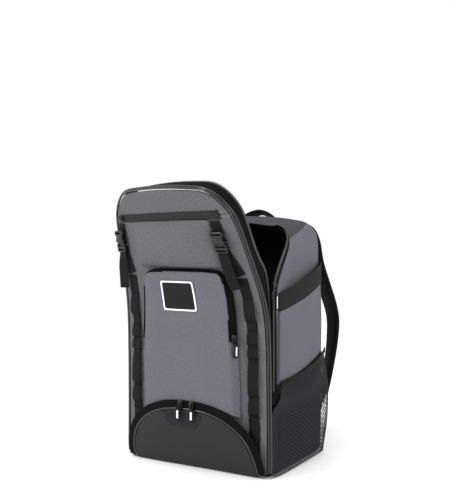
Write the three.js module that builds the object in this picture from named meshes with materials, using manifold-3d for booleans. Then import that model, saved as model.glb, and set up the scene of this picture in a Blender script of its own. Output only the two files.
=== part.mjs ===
// A sports backpack, standing upright with its main zip open at the top.
// Millimetres, +Z up. The origin is the centre of the base's underside, the front faces -Y,
// and the wearer's back is on the +Y side.
import * as THREE from 'three';
import { mergeVertices } from 'three/addons/utils/BufferGeometryUtils.js';
import Module from 'manifold-3d';

const wasm = await Module();
wasm.setup();

// Main body
const bodyWidth = 305;
const bodyDepth = 233;
const bodyHeight = 470;
const clothWall = 2.5;
const backEdgeRadius = 28;
const topCornerRadius = 45;
const topCrown = 10;
const topSag = 20;
const baseThickness = 3;
const baseInset = 6;
const footRadius = 12;
const sagStart = 40;
const seamGap = 0.6;

// Front panel, which leans out of the body above the place where the zip is closed
const frontHeight = 503;
const frontWall = 3;
const frontCrown = 10;
const frontCornerRadius = 52;
const frontFoot = 1.5;
const frontTopDrop = 9;
const crownStart = 110;
const leanStart = 296;
const leanTop = 463;
const leanReach = 66;
const leanTwist = 41;
const leanBlend = 0.27;
const leanSway = 12;
const pipingRadius = 2.8;

// Main zip
const zipSetback = 13.5;
const zipEndHeight = 138;
const sliderHeight = 334;
const tapeThickness = 1.4;
const tapeWidth = 16;
const frontTapeWidth = 26;
const frontTapeMost = 38;
const closedTapeWidth = 18;
const tapeTurnHeight = 50;
const zipEndWidth = 25.6;
const zipEndLength = 24;
const sliderWidth = 10;
const sliderLength = 15;
const sliderThickness = 6;
const pullWidth = 8;
const pullThickness = 2.2;
const mainPullLength = 44;
const lowerPullLength = 30;
const pocketPullLength = 34;

// Level zip and the padded panel under it
const flapDrop = 46;
const flapLevel = frontHeight - flapDrop;
const flapLeft = -137;
const flapRight = 125;
const flapHeight = 14;
const flapThickness = 2;
const upperPanelWidth = 194;
const upperPanelBulge = 13;

// Moulded front pocket
const pocketDrop = 140;
const pocketTop = frontHeight - pocketDrop;
const pocketSeam = 8;
const pocketWidth = 204;
const pocketDepth = 30;
const pocketWall = 2;
const pocketCornerRadius = 20;
const patchWidth = 73;
const patchHeight = 54;
const patchDrop = 47;
const patchLevel = pocketTop - patchDrop;
const patchOffset = -6;
const patchThickness = 1.4;
const patchBorder = 3;

// Dome pocket at the floor
const domeHalfWidth = 130;
const domeHeight = 110;
const domeDepth = 32;
const domeRoundness = 2.4;
const domeTapeWidth = 12;
const domePipingRadius = 1.7;
const domeFloor = 1.5;
const ventOffset = -8;
const ventTop = 103;
const ventHeight = 24;
const ventTopWidth = 84;
const ventBottomWidth = 56;
const ventThickness = 1;
const lowerSliderRight = 14;
const lowerSliderLeft = -10;

// Webbing and buckles
const webbingWidth = 20.5;
const webbingThickness = 1.6;
const chainOffset = 126;
const chainDrop = 153;
const chainTop = frontHeight - chainDrop;
const chainFoot = 30;
const chainLoopRise = 3;
const buckleWidth = 27;
const buckleLength = 41;
const buckleThickness = 9;
const buckleDrop = 66;
const buckleTop = frontHeight - buckleDrop;
const slotHeight = 3.2;
const windowDepth = 4;
const buckleOffsetRight = 111.5;
const buckleOffsetLeft = -135.5;
const tailLength = 68;
const tailHemLength = 4;

// Sides
const sleeveSetback = 33;
const sleeveBackInset = 12.5;
const sleeveFoot = 8;
const sleeveMouthFront = 322;
const sleeveMouthBack = 376;
const sleeveBulge = 13;
const bandFrontWidth = 33;
const bandBackWidth = 39;
const bandThickness = 2;
const meshTopFront = 156;
const meshTopBack = 196;
const meshBulge = 16;
const meshWall = 1.2;
const meshFloor = 1.5;
const meshGap = 2.2;
const bindingWidth = 10;

// Back and shoulder straps
const padThickness = 14;
const strapWidth = 62;
const strapThickness = 14;
const strapSpread = 120;
const strapReach = 128;
const lockWidth = 34;
const lowerStrapSag = 45;
const haulLoopWidth = 90;
const haulLoopRise = 26;

const half = bodyWidth / 2;
const frontPlane = -bodyDepth / 2;
const backPlane = bodyDepth / 2;
const frontHalf = half - pipingRadius * 1.6;
const zipLine = frontPlane + zipSetback;
const tapeFace = half - clothWall * 0.4;
const sleeveFront = frontPlane + sleeveSetback;
const sleeveBack = backPlane - sleeveBackInset;

const light = new THREE.MeshStandardMaterial({ color: 0x77777f, roughness: 0.8, metalness: 0 });
const warm = new THREE.MeshStandardMaterial({ color: 0x6d6b6e, roughness: 0.85, metalness: 0 });
const coated = new THREE.MeshStandardMaterial({ color: 0x2c2c2d, roughness: 0.5, metalness: 0 });
const webbing = new THREE.MeshStandardMaterial({ color: 0x232324, roughness: 0.8, metalness: 0 });
const moulded = new THREE.MeshStandardMaterial({ color: 0x1b1b1c, roughness: 0.45, metalness: 0 });
const glossy = new THREE.MeshStandardMaterial({ color: 0x151515, roughness: 0.25, metalness: 0 });
const netting = new THREE.MeshStandardMaterial({ color: 0x303030, roughness: 0.9, metalness: 0 });
const white = new THREE.MeshStandardMaterial({ color: 0xf0f0f0, roughness: 0.5, metalness: 0 });

const bag = new THREE.Group();

function addPiece(name, geometry, material) {
  const mesh = new THREE.Mesh(geometry, material);
  mesh.name = name;
  bag.add(mesh);
  return mesh;
}

function mix(a, b, share) {
  return a + (b - a) * share;
}

function smooth(share) {
  const s = THREE.MathUtils.clamp(share, 0, 1);
  return s * s * (3 - 2 * s);
}

// Reads a column of a table whose rows are sorted by share, in straight lines between the rows.
function readTable(table, share, column) {
  let row = 0;
  while (row < table.length - 2 && share > table[row + 1].share) row += 1;
  const low = table[row];
  const high = table[row + 1];
  const part = THREE.MathUtils.clamp((share - low.share) / (high.share - low.share), 0, 1);
  return mix(low[column], high[column], part);
}

function evenShares(count) {
  return Array.from({ length: count + 1 }, (_, i) => i / count);
}

// Joins equal corners, drops empty triangles and turns the faces outwards.
const stepsPerMillimetre = 500;

function solidFrom(corners, triangles) {
  const keys = new Map();
  const points = [];
  const index = corners.map((corner) => {
    const key = corner.toArray().map((value) => Math.round(value * stepsPerMillimetre)).join(' ');
    if (!keys.has(key)) {
      keys.set(key, points.length);
      points.push(corner);
    }
    return keys.get(key);
  });
  const faces = triangles
    .map((triangle) => triangle.map((corner) => index[corner]))
    .filter(([a, b, c]) => a !== b && b !== c && a !== c);
  let volume = 0;
  const edge = new THREE.Vector3();
  for (const [a, b, c] of faces) {
    volume += points[a].dot(edge.crossVectors(points[b], points[c]));
  }
  const turned = volume < 0 ? faces.map(([a, b, c]) => [a, c, b]) : faces;
  const geometry = new THREE.BufferGeometry();
  const values = points.flatMap((point) => point.toArray());
  geometry.setAttribute('position', new THREE.Float32BufferAttribute(values, 3));
  geometry.setIndex(turned.flat());
  return geometry;
}

// A closed sheet between two surfaces that share the same rows and columns.
// A looped sheet closes on itself along its columns.
function sheet(rows, columns, outer, inner, looped = false) {
  const corners = [];
  const triangles = [];
  for (const surface of [outer, inner]) {
    for (const u of rows) {
      for (const v of columns) corners.push(surface(u, v));
    }
  }
  const wide = columns.length;
  const layer = rows.length * wide;
  const spans = looped ? wide : wide - 1;
  const quad = (a, b, c, d) => triangles.push([a, b, c], [a, c, d]);
  for (let r = 0; r < rows.length - 1; r += 1) {
    for (let c = 0; c < spans; c += 1) {
      const here = r * wide + c;
      const next = r * wide + ((c + 1) % wide);
      quad(here, next, next + wide, here + wide);
      quad(layer + here, layer + here + wide, layer + next + wide, layer + next);
    }
    if (!looped) {
      const left = r * wide;
      const right = left + wide - 1;
      quad(left, left + wide, layer + left + wide, layer + left);
      quad(right + wide, right, layer + right, layer + right + wide);
    }
  }
  const last = (rows.length - 1) * wide;
  for (let c = 0; c < spans; c += 1) {
    const next = (c + 1) % wide;
    quad(next, c, layer + c, layer + next);
    quad(last + c, last + next, layer + last + next, layer + last + c);
  }
  return solidFrom(corners, triangles);
}

// The same surface moved along its own normal, which is turned to the side named by facing.
function lifted(surface, facing, lift) {
  const step = 0.004;
  const normalAt = (u, v) => {
    const u0 = Math.max(0, u - step);
    const v0 = Math.max(0, v - step);
    const alongRows = surface(Math.min(1, u + step), v).sub(surface(u0, v));
    const alongColumns = surface(u, Math.min(1, v + step)).sub(surface(u, v0));
    return alongRows.cross(alongColumns).normalize();
  };
  const side = Math.sign(normalAt(0.5, 0.5).dot(facing));
  return (u, v) => {
    const distance = typeof lift === 'function' ? lift(u, v) : lift;
    return surface(u, v).addScaledVector(normalAt(u, v), side * distance);
  };
}

function liftedSheet(rows, columns, surface, facing, from, to) {
  return sheet(rows, columns, lifted(surface, facing, to), lifted(surface, facing, from));
}

// A round bead that follows rings with a point, an outward and a back direction
function bead(rings, radius, sides) {
  const surface = (u, v) => {
    const ring = rings[Math.round(u * (rings.length - 1))];
    const angle = v * Math.PI * 2;
    return ring.point.clone()
      .addScaledVector(ring.outward, radius * Math.cos(angle))
      .addScaledVector(ring.back, radius * Math.sin(angle));
  };
  const centre = (u) => rings[Math.round(u * (rings.length - 1))].point.clone();
  return closedTube(evenShares(rings.length - 1), evenShares(sides).slice(0, -1), surface, centre);
}

// A tube whose two ends are closed by fans
function closedTube(rows, columns, surface, centre) {
  const corners = [];
  const triangles = [];
  for (const u of rows) {
    for (const v of columns) corners.push(surface(u, v));
  }
  const wide = columns.length;
  for (let r = 0; r < rows.length - 1; r += 1) {
    for (let c = 0; c < wide; c += 1) {
      const here = r * wide + c;
      const next = r * wide + ((c + 1) % wide);
      triangles.push([here, next, next + wide], [here, next + wide, here + wide]);
    }
  }
  const last = (rows.length - 1) * wide;
  const start = corners.push(centre(0)) - 1;
  const end = corners.push(centre(1)) - 1;
  for (let c = 0; c < wide; c += 1) {
    const next = (c + 1) % wide;
    triangles.push([start, next, c], [end, last + c, last + next]);
  }
  return solidFrom(corners, triangles);
}

const towardsFront = new THREE.Vector3(0, -1, 0);
const towardsBack = new THREE.Vector3(0, 1, 0);

// Front panel: nearly flat, and bent forward above the sliders, more on the right than on the left
// Share of the lean at a height: none low down, then a straight slope
function leanShare(z) {
  const rise = (z - leanStart) / (leanTop - leanStart);
  return (rise + Math.hypot(rise, leanBlend)) / 2;
}

function frontLean(x, z) {
  return (leanReach + leanTwist * (x / half)) * leanShare(z);
}

// Depth of the panel's face at a width measured on the panel, which also sways to the left as it leans
function frontFace(x, z) {
  const crown = frontCrown * (1 - Math.abs(x / half) ** 3) * smooth(z / crownStart);
  return frontPlane - crown - frontLean(x, z);
}

function faceBehind(x, z) {
  return frontFace(x + leanSway * leanShare(z), z);
}

function frontNormal(x, z) {
  const place = x - leanSway * leanShare(z);
  const acrossSlope = (faceBehind(place + 1, z) - faceBehind(place - 1, z)) / 2;
  const upSlope = (faceBehind(place, z + 1) - faceBehind(place, z - 1)) / 2;
  return new THREE.Vector3(acrossSlope, -1, upSlope).normalize();
}

function frontPoint(x, z, lift = 0) {
  const spot = new THREE.Vector3(x - leanSway * leanShare(z), frontFace(x, z), z);
  return spot.addScaledVector(frontNormal(x, z), lift);
}

// The top edge is highest a little left of the middle.
const topPeakShare = -0.3;

function frontTop(x) {
  return frontHeight - frontTopDrop * (x / frontHalf - topPeakShare) ** 2;
}

// Half-width and height of the panel's edge: upright sides, then a round top corner
const cornerAngles = [0, 18, 36, 54, 72, 90].map(THREE.MathUtils.degToRad);
const frontRows = [
  { share: 0, width: frontHalf - 6 },
  { share: 0.02, width: frontHalf - 1 },
  ...[0.06, 0.14, 0.22, 0.3, 0.38, 0.46, 0.54, 0.6, 0.65, 0.7, 0.75, 0.8, 0.85].map((share) => (
    { share, width: frontHalf }
  )),
  ...cornerAngles.map((angle) => ({
    share: 1 - (frontCornerRadius / frontHeight) * (1 - Math.sin(angle)),
    width: frontHalf - frontCornerRadius * (1 - Math.cos(angle)),
  })),
];

function frontSpot(share, across) {
  const x = across * readTable(frontRows, share, 'width');
  return { x, z: mix(frontFoot, frontTop(x), share) };
}

function frontSurface(lift) {
  return (share, v) => {
    const { x, z } = frontSpot(share, 2 * v - 1);
    return frontPoint(x, z, lift);
  };
}

const panelRows = frontRows.map((row) => row.share);
const panelColumns = [0, 0.04, 0.11, 0.2, 0.3, 0.4, 0.5, 0.6, 0.7, 0.8, 0.89, 0.96, 1];
addPiece('front_panel', sheet(
  panelRows,
  panelColumns,
  frontSurface(0),
  frontSurface(-frontWall),
), warm);

// The panel's edge from the right foot over the top to the left foot
const topShares = [0.75, 0.5, 0.25, 0, -0.25, -0.5, -0.75];
const edgeSpots = [
  ...frontRows.map((row) => ({ share: row.share, across: 1 })),
  ...topShares.map((across) => ({ share: 1, across })),
  ...frontRows.map((row) => ({ share: row.share, across: -1 })).reverse(),
].filter((spot) => spot.share > 0);

// Outward direction in the plane of the panel, for a spot of its edge
function edgeOutward(index) {
  const before = edgeSpots[Math.max(0, index - 1)];
  const after = edgeSpots[Math.min(edgeSpots.length - 1, index + 1)];
  const a = frontSpot(before.share, before.across);
  const b = frontSpot(after.share, after.across);
  const along = frontPoint(b.x, b.z).sub(frontPoint(a.x, a.z)).normalize();
  const spot = frontSpot(edgeSpots[index].share, edgeSpots[index].across);
  return frontNormal(spot.x, spot.z).cross(along).normalize().negate();
}

const edgeRings = edgeSpots.map((spot, index) => {
  const { x, z } = frontSpot(spot.share, spot.across);
  const outward = edgeOutward(index);
  if (outward.dot(new THREE.Vector3(x, 0, z - bodyHeight / 2)) < 0) outward.negate();
  return { x, z, outward, point: frontPoint(x, z), back: frontNormal(x, z).negate() };
});

const pipingOut = pipingRadius + seamGap;
const pipingRings = edgeRings.map((ring) => {
  const point = ring.point.clone().addScaledVector(ring.outward, pipingOut);
  return { ...ring, point: point.addScaledVector(ring.back, frontWall / 2) };
});
addPiece('main_piping', bead(pipingRings, pipingRadius, 6), glossy);

// The half of the main zip that is sewn to the front panel
const tapeStart = frontWall / 2 + pipingRadius + seamGap;
const frontTapeRings = edgeRings.filter((ring) => ring.z > zipEndHeight);
const frontTapeShares = evenShares(frontTapeRings.length - 1);

function frontTapeSurface(depth) {
  return (u, v) => {
    const ring = frontTapeRings[Math.round(u * (frontTapeRings.length - 1))];
    const open = smooth((ring.z - sliderHeight) / tapeTurnHeight);
    const closedWidth = zipLine - seamGap / 2 - (ring.point.y + tapeStart);
    const width = mix(Math.min(closedWidth, frontTapeMost), frontTapeWidth, open);
    return ring.point.clone()
      .addScaledVector(ring.outward, tapeFace - frontHalf - tapeThickness + depth)
      .addScaledVector(ring.back, tapeStart + width * v);
  };
}

addPiece('front_zip_tape', sheet(
  frontTapeShares,
  [0, 1],
  frontTapeSurface(tapeThickness),
  frontTapeSurface(0),
), coated);

// Rear body: a tray with sides, back and top, whose open mouth faces the front panel.
// Above the sliders the mouth runs back, because the front has fallen away from it.
const mouthTable = [
  { share: 0, mouth: frontPlane + frontWall + 1.2 },
  { share: 0.2, mouth: frontPlane + frontWall + 1.2 },
  { share: 0.26, mouth: zipLine + closedTapeWidth },
  { share: 0.6, mouth: zipLine + closedTapeWidth - 2 },
  { share: 0.713, mouth: zipLine + closedTapeWidth - 7 },
  { share: 0.78, mouth: -0.32 * bodyDepth },
  { share: 0.84, mouth: -0.236 * bodyDepth },
  { share: 0.9, mouth: -0.142 * bodyDepth },
  { share: 0.97, mouth: -0.034 * bodyDepth },
  { share: 1.03, mouth: 0 },
];

function mouthAt(z) {
  return readTable(mouthTable, z / bodyHeight, 'mouth');
}

// Corners of the tray's section at a depth, from the bottom's middle round by the right side
function bodySection(inset, y) {
  const sag = topSag * (1 - smooth((y + sagStart) / (backPlane + sagStart)));
  const bottom = baseThickness + seamGap + inset;
  const top = bodyHeight - topCrown - sag - inset;
  const side = half - inset;
  const radius = topCornerRadius - inset;
  const right = [];
  for (const share of [0, 0.35, 0.7]) right.push([share * (side - footRadius), bottom]);
  for (const angle of [-90, -45, 0].map(THREE.MathUtils.degToRad)) {
    const rise = footRadius * (1 + Math.sin(angle));
    right.push([side - footRadius * (1 - Math.cos(angle)), bottom + rise]);
  }
  for (const share of [0.12, 0.2, 0.26, 0.33, 0.45, 0.56, 0.66, 0.74, 0.82, 0.9]) {
    right.push([side, mix(bottom + footRadius, top - radius, share)]);
  }
  for (const angle of [0, 22, 45, 68, 90].map(THREE.MathUtils.degToRad)) {
    right.push([side - radius + radius * Math.cos(angle), top - radius + radius * Math.sin(angle)]);
  }
  for (const share of [0.7, 0.35]) {
    right.push([share * (side - radius), top + topCrown * (1 - share ** 2)]);
  }
  const left = right.slice(1).reverse().map(([x, z]) => [-x, z]);
  return [...right, [0, top + topCrown], ...left];
}

const sectionCount = bodySection(0, 0).length;
const sectionColumns = evenShares(sectionCount).slice(0, -1);
const backAngles = [0, 30, 60, 90].map(THREE.MathUtils.degToRad);
const bodyRings = [
  { share: 0, inset: 0 },
  { share: 0.5, inset: 0 },
  ...backAngles.map((angle) => ({ share: 1, inset: 1 - Math.cos(angle), turn: Math.sin(angle) })),
  { share: 1, inset: 1, turn: 1, shrink: 0.6 },
  { share: 1, inset: 1, turn: 1, shrink: 0.3 },
  { share: 1, inset: 1, turn: 1, shrink: 0 },
];
const bodyRows = evenShares(bodyRings.length - 1);

function bodySurface(inset) {
  return (u, v) => {
    const ring = bodyRings[Math.round(u * (bodyRings.length - 1))];
    const radius = backEdgeRadius - inset;
    const straightEnd = backPlane - inset - radius;
    const column = Math.round(v * sectionCount) % sectionCount;
    const turn = ring.turn ?? 0;
    const plain = bodySection(inset, straightEnd)[column];
    const mouth = mouthAt(plain[1]);
    const y = mix(mouth, straightEnd, ring.share) + radius * turn;
    const [x, z] = bodySection(inset + radius * ring.inset, y)[column];
    const shrink = ring.shrink ?? 1;
    const middle = bodyHeight / 2;
    return new THREE.Vector3(x * shrink, y, mix(middle, z, shrink));
  };
}

addPiece('rear_body', sheet(
  bodyRows,
  sectionColumns,
  bodySurface(0),
  bodySurface(clothWall),
  true,
), light);

// The half of the main zip that is sewn to the rear body
const mouthColumns = [];
for (let column = 0; column < sectionCount; column += 1) {
  if (bodySection(0, 0)[column][1] > zipEndHeight) mouthColumns.push(column);
}
const outerBody = bodySurface(clothWall * 0.4);
const rearTapeRings = mouthColumns.map((column, index) => {
  const here = outerBody(0, column / sectionCount);
  const before = outerBody(0, mouthColumns[Math.max(0, index - 1)] / sectionCount);
  const after = outerBody(0, mouthColumns[Math.min(mouthColumns.length - 1, index + 1)] / sectionCount);
  const along = after.sub(before).normalize();
  const outward = new THREE.Vector3(here.x, 0, Math.max(0, here.z - bodyHeight + topCornerRadius) * 3);
  outward.addScaledVector(along, -outward.dot(along)).normalize();
  const open = smooth((here.z - sliderHeight) / (tapeTurnHeight * 0.6) + 0.67);
  const forward = new THREE.Vector3(0, -1, 0);
  const inSheet = outward.clone().cross(along).normalize();
  if (inSheet.dot(forward) < 0) inSheet.negate();
  const direction = forward.lerp(inSheet, open).normalize();
  const closedWidth = here.y - zipLine - seamGap * 1.5;
  return { point: here, outward, direction, width: mix(closedWidth, tapeWidth, open) };
});

function rearTapeSurface(depth) {
  return (u, v) => {
    const ring = rearTapeRings[Math.round(u * (rearTapeRings.length - 1))];
    return ring.point.clone()
      .addScaledVector(ring.outward, depth)
      .addScaledVector(ring.direction, seamGap + ring.width * v);
  };
}

addPiece('rear_zip_tape', sheet(
  evenShares(rearTapeRings.length - 1),
  [0, 1],
  rearTapeSurface(0),
  rearTapeSurface(-tapeThickness),
), coated);

function roundedPlate(width, height, radius, thickness, bevel = 0) {
  const x = width / 2 - radius;
  const y = height / 2 - radius;
  const outline = new THREE.Shape();
  outline.absarc(x, y, radius, 0, Math.PI / 2);
  outline.absarc(-x, y, radius, Math.PI / 2, Math.PI);
  outline.absarc(-x, -y, radius, Math.PI, Math.PI * 1.5);
  outline.absarc(x, -y, radius, Math.PI * 1.5, Math.PI * 2);
  const settings = {
    depth: thickness - 2 * bevel,
    bevelEnabled: bevel > 0,
    bevelThickness: bevel,
    bevelSize: bevel,
    bevelOffset: -bevel,
    bevelSegments: 1,
    curveSegments: 2,
  };
  const plate = new THREE.ExtrudeGeometry(outline, settings);
  plate.translate(0, 0, bevel - thickness / 2);
  return plate;
}

const base = addPiece('base_panel', roundedPlate(
  bodyWidth - 2 * baseInset,
  bodyDepth - 2 * baseInset,
  backEdgeRadius - baseInset,
  baseThickness,
), coated);
base.position.set(0, 0, baseThickness / 2);

// Places a piece that was drawn flat, its face to +Z and its top to +Y, at a spot of the bag
function seat(mesh, point, face, up) {
  const out = face.clone().normalize();
  const across = up.clone().cross(out).normalize();
  const top = out.clone().cross(across);
  mesh.quaternion.setFromRotationMatrix(new THREE.Matrix4().makeBasis(across, top, out));
  mesh.position.copy(point);
  return mesh;
}

function solidOf(geometry) {
  const bare = geometry.index ? geometry.clone() : geometry;
  bare.deleteAttribute('normal');
  bare.deleteAttribute('uv');
  const merged = mergeVertices(bare, 1e-4);
  return new wasm.Manifold(new wasm.Mesh({
    numProp: 3,
    vertProperties: new Float32Array(merged.attributes.position.array),
    triVerts: new Uint32Array(merged.index.array),
  }));
}

function geometryOf(solid) {
  const mesh = solid.getMesh();
  const geometry = new THREE.BufferGeometry();
  geometry.setAttribute('position', new THREE.Float32BufferAttribute(mesh.vertProperties, 3));
  geometry.setIndex(Array.from(mesh.triVerts));
  return geometry;
}

function box(width, height, depth, x, y, z) {
  return solidOf(new THREE.BoxGeometry(width, height, depth).translate(x, y, z));
}

// A zip slider: a rounded body with a bridge over it that the pull hangs on
function sliderShape(width, length, thickness) {
  const body = solidOf(roundedPlate(width, length, width * 0.3, thickness * 0.5));
  const bridge = box(width * 0.36, length * 0.66, thickness * 0.6, 0, 0, thickness * 0.45);
  const opening = box(width, length * 0.38, thickness * 0.26, 0, 0, thickness * 0.38);
  return geometryOf(body.add(bridge.subtract(opening)));
}

function pullShape(width, length, thickness) {
  return roundedPlate(width, length, width * 0.35, thickness);
}

const sliderLift = sliderThickness * 0.25 + seamGap;
const pullLift = sliderThickness + seamGap * 1.4 + pullThickness / 2;

// Slider and pull at a spot, the pull hanging down from the slider's lower end
function zipSet(name, point, face, up, pullLength, pullTurn = 0) {
  const out = face.clone().normalize();
  const down = up.clone().negate().applyAxisAngle(out, pullTurn);
  const sliderPoint = point.clone().addScaledVector(out, sliderLift);
  const sliderBody = sliderShape(sliderWidth, sliderLength, sliderThickness);
  seat(addPiece(`${name}_slider`, sliderBody, moulded), sliderPoint, out, up);
  const pullPoint = point.clone()
    .addScaledVector(out, pullLift)
    .addScaledVector(down, pullLength / 2 - sliderLength * 0.15);
  const pull = addPiece(`${name}_pull`, pullShape(pullWidth, pullLength, pullThickness), moulded);
  seat(pull, pullPoint, out, down.negate());
}

const upwards = new THREE.Vector3(0, 0, 1);
for (const [word, side] of [['right', 1], ['left', -1]]) {
  const outSide = new THREE.Vector3(side, 0, 0);
  const spot = new THREE.Vector3(side * tapeFace, zipLine, sliderHeight);
  zipSet(`main_${word}`, spot, outSide, upwards, mainPullLength);
  const endPlate = roundedPlate(zipEndWidth, zipEndLength, zipEndLength * 0.42, tapeThickness);
  const endPatch = addPiece(`zip_end_${word}`, endPlate, coated);
  const endAcross = side * (half + seamGap + tapeThickness / 2);
  seat(endPatch, new THREE.Vector3(endAcross, zipLine + zipEndLength / 4, zipEndHeight), outSide, upwards);
}

// Level zip under the front panel's top, covered by a flap
addPiece('top_zip_flap', sheet(
  evenShares(12),
  [0, 0.25, 0.75, 1],
  (u, v) => frontPoint(
    mix(flapLeft, flapRight, u),
    flapLevel + (v - 0.5) * flapHeight,
    seamGap + flapThickness * (v === 0 || v === 1 ? 0.5 : 1),
  ),
  (u, v) => frontPoint(mix(flapLeft, flapRight, u), flapLevel + (v - 0.5) * flapHeight, seamGap),
), coated);
const topSlider = addPiece('top_slider', sliderShape(sliderWidth, sliderLength, sliderThickness), moulded);
const topSliderSpot = { x: flapLeft + sliderLength / 2, z: flapLevel };
seat(
  topSlider,
  frontPoint(topSliderSpot.x, topSliderSpot.z, seamGap * 2 + flapThickness + sliderThickness * 0.25),
  frontNormal(topSliderSpot.x, topSliderSpot.z),
  new THREE.Vector3(-1, 0, 0),
);

// Padded panel that swells towards its lower edge
const upperTop = flapLevel - flapHeight / 2 - 1;
const upperBottom = pocketTop + pocketSeam;
const upperAcross = [
  { share: 0, rise: 0, out: 1 },
  { share: 0.12, rise: 0.55, out: 0.95 },
  { share: 0.25, rise: 0.85, out: 0.84 },
  { share: 0.5, rise: 1, out: 0.5 },
  { share: 1, rise: 1.05, out: 0 },
];
const upperDown = [
  { share: 0, rise: 0, drop: 0 },
  { share: 0.14, rise: 0.3, drop: 0.06 },
  { share: 0.4, rise: 0.55, drop: 0.3 },
  { share: 0.7, rise: 0.9, drop: 0.66 },
  { share: 0.88, rise: 1, drop: 0.9 },
  { share: 0.95, rise: 0.75, drop: 0.98 },
  { share: 1, rise: 0, drop: 1 },
];

function upperSurface(u, v) {
  const across = 1 - Math.abs(2 * v - 1);
  const x = Math.sign(2 * v - 1) * (upperPanelWidth / 2) * readTable(upperAcross, across, 'out');
  const z = mix(upperTop, upperBottom, readTable(upperDown, u, 'drop'));
  const rise = readTable(upperAcross, across, 'rise') * readTable(upperDown, u, 'rise');
  return frontPoint(x, z, seamGap + upperPanelBulge * rise);
}

// Shares from one edge to the middle, made into shares from edge to edge
function mirrored(shares) {
  const near = shares.map((share) => share / 2);
  const far = shares.slice(0, -1).reverse().map((share) => 1 - share / 2);
  return [...near, ...far];
}

addPiece('upper_panel', liftedSheet(
  upperDown.map((row) => row.share),
  mirrored(upperAcross.map((row) => row.share)),
  upperSurface,
  towardsFront,
  0,
  clothWall * 0.8,
), warm);

// Dome pocket at the floor: its edge is a flattened arch from foot to foot
function archPoint(angle, grow) {
  const power = 2 / domeRoundness;
  return {
    x: (domeHalfWidth + grow) * Math.sign(Math.cos(angle)) * Math.abs(Math.cos(angle)) ** power,
    z: (domeHeight + grow) * Math.sin(angle) ** power,
  };
}

function archTop(x, grow) {
  const share = Math.min(1, Math.abs(x) / (domeHalfWidth + grow));
  return (domeHeight + grow) * (1 - share ** domeRoundness) ** (1 / domeRoundness);
}

const domeSwell = [
  { share: 0, swell: 0.02 },
  { share: 0.1, swell: 0.3 },
  { share: 0.25, swell: 0.58 },
  { share: 0.45, swell: 0.8 },
  { share: 0.7, swell: 0.95 },
  { share: 1, swell: 1 },
];

function domeFace(x, z) {
  const swell = readTable(domeSwell, z / (domeHeight + domeTapeWidth), 'swell');
  const edge = Math.abs(x) / (domeHalfWidth + domeTapeWidth);
  return Math.min(
    frontPlane - domeDepth * swell * (1 - 0.4 * edge ** 3),
    faceBehind(x, z) - seamGap * 1.3,
  );
}

const domeRows = [0, 0.2, 0.4, 0.6, 0.75, 0.86, 0.94, 0.985, 1];

function domeSurface(u, v) {
  const width = domeHalfWidth * (1 - u ** domeRoundness) ** (1 / domeRoundness);
  const x = width * (2 * v - 1);
  const z = mix(domeFloor, domeHeight, u);
  return new THREE.Vector3(x, domeFace(x, z), z);
}

addPiece('lower_pocket', sheet(
  domeRows,
  evenShares(14),
  (u, v) => domeSurface(u, v).add(new THREE.Vector3(0, -pocketWall, 0)),
  domeSurface,
), coated);

const archRings = evenShares(30).map((share) => {
  const angle = mix(0.06, Math.PI - 0.06, share);
  const spot = archPoint(angle, domePipingRadius + seamGap);
  const wider = archPoint(angle, domePipingRadius + 2);
  const z = Math.max(spot.z, domeFloor + domePipingRadius);
  const point = new THREE.Vector3(spot.x, domeFace(spot.x, z) - domePipingRadius * 0.6, z);
  const outward = new THREE.Vector3(wider.x - spot.x, 0, wider.z - spot.z).normalize();
  return { point, outward, back: towardsBack };
});
addPiece('lower_piping', bead(archRings, domePipingRadius, 5), glossy);

const tapeInside = 2 * domePipingRadius + 2 * seamGap;

function lowerTapeSurface(lift) {
  return (u, v) => {
    const grow = tapeInside + v * domeTapeWidth;
    const spot = archPoint(mix(0.03, Math.PI - 0.03, u), grow);
    const z = Math.max(spot.z, domeFloor);
    return new THREE.Vector3(spot.x, domeFace(spot.x, z) - lift, z);
  };
}

addPiece('lower_zip_tape', sheet(
  evenShares(32),
  [0, 0.5, 1],
  lowerTapeSurface(tapeThickness),
  lowerTapeSurface(0),
), coated);

function ventSurface(lift) {
  return (u, v) => {
    const width = mix(ventTopWidth, ventBottomWidth, u);
    const x = ventOffset + (v - 0.5) * width;
    const z = ventTop - ventHeight * u;
    return new THREE.Vector3(x, domeFace(x, z) - lift, z);
  };
}

addPiece('vent_patch', sheet(
  evenShares(2),
  evenShares(5),
  ventSurface(pocketWall + seamGap + ventThickness),
  ventSurface(pocketWall + seamGap),
), netting);

const lowerSliders = [
  { word: 'lower_right', x: lowerSliderRight, turn: 0.2 },
  { word: 'lower_left', x: lowerSliderLeft, turn: -0.2 },
];
for (const row of lowerSliders) {
  const z = archTop(row.x, tapeInside + domeTapeWidth * 0.52);
  const point = new THREE.Vector3(row.x, domeFace(row.x, z) - tapeThickness, z);
  zipSet(row.word, point, towardsFront, upwards, lowerPullLength, row.turn);
}

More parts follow.
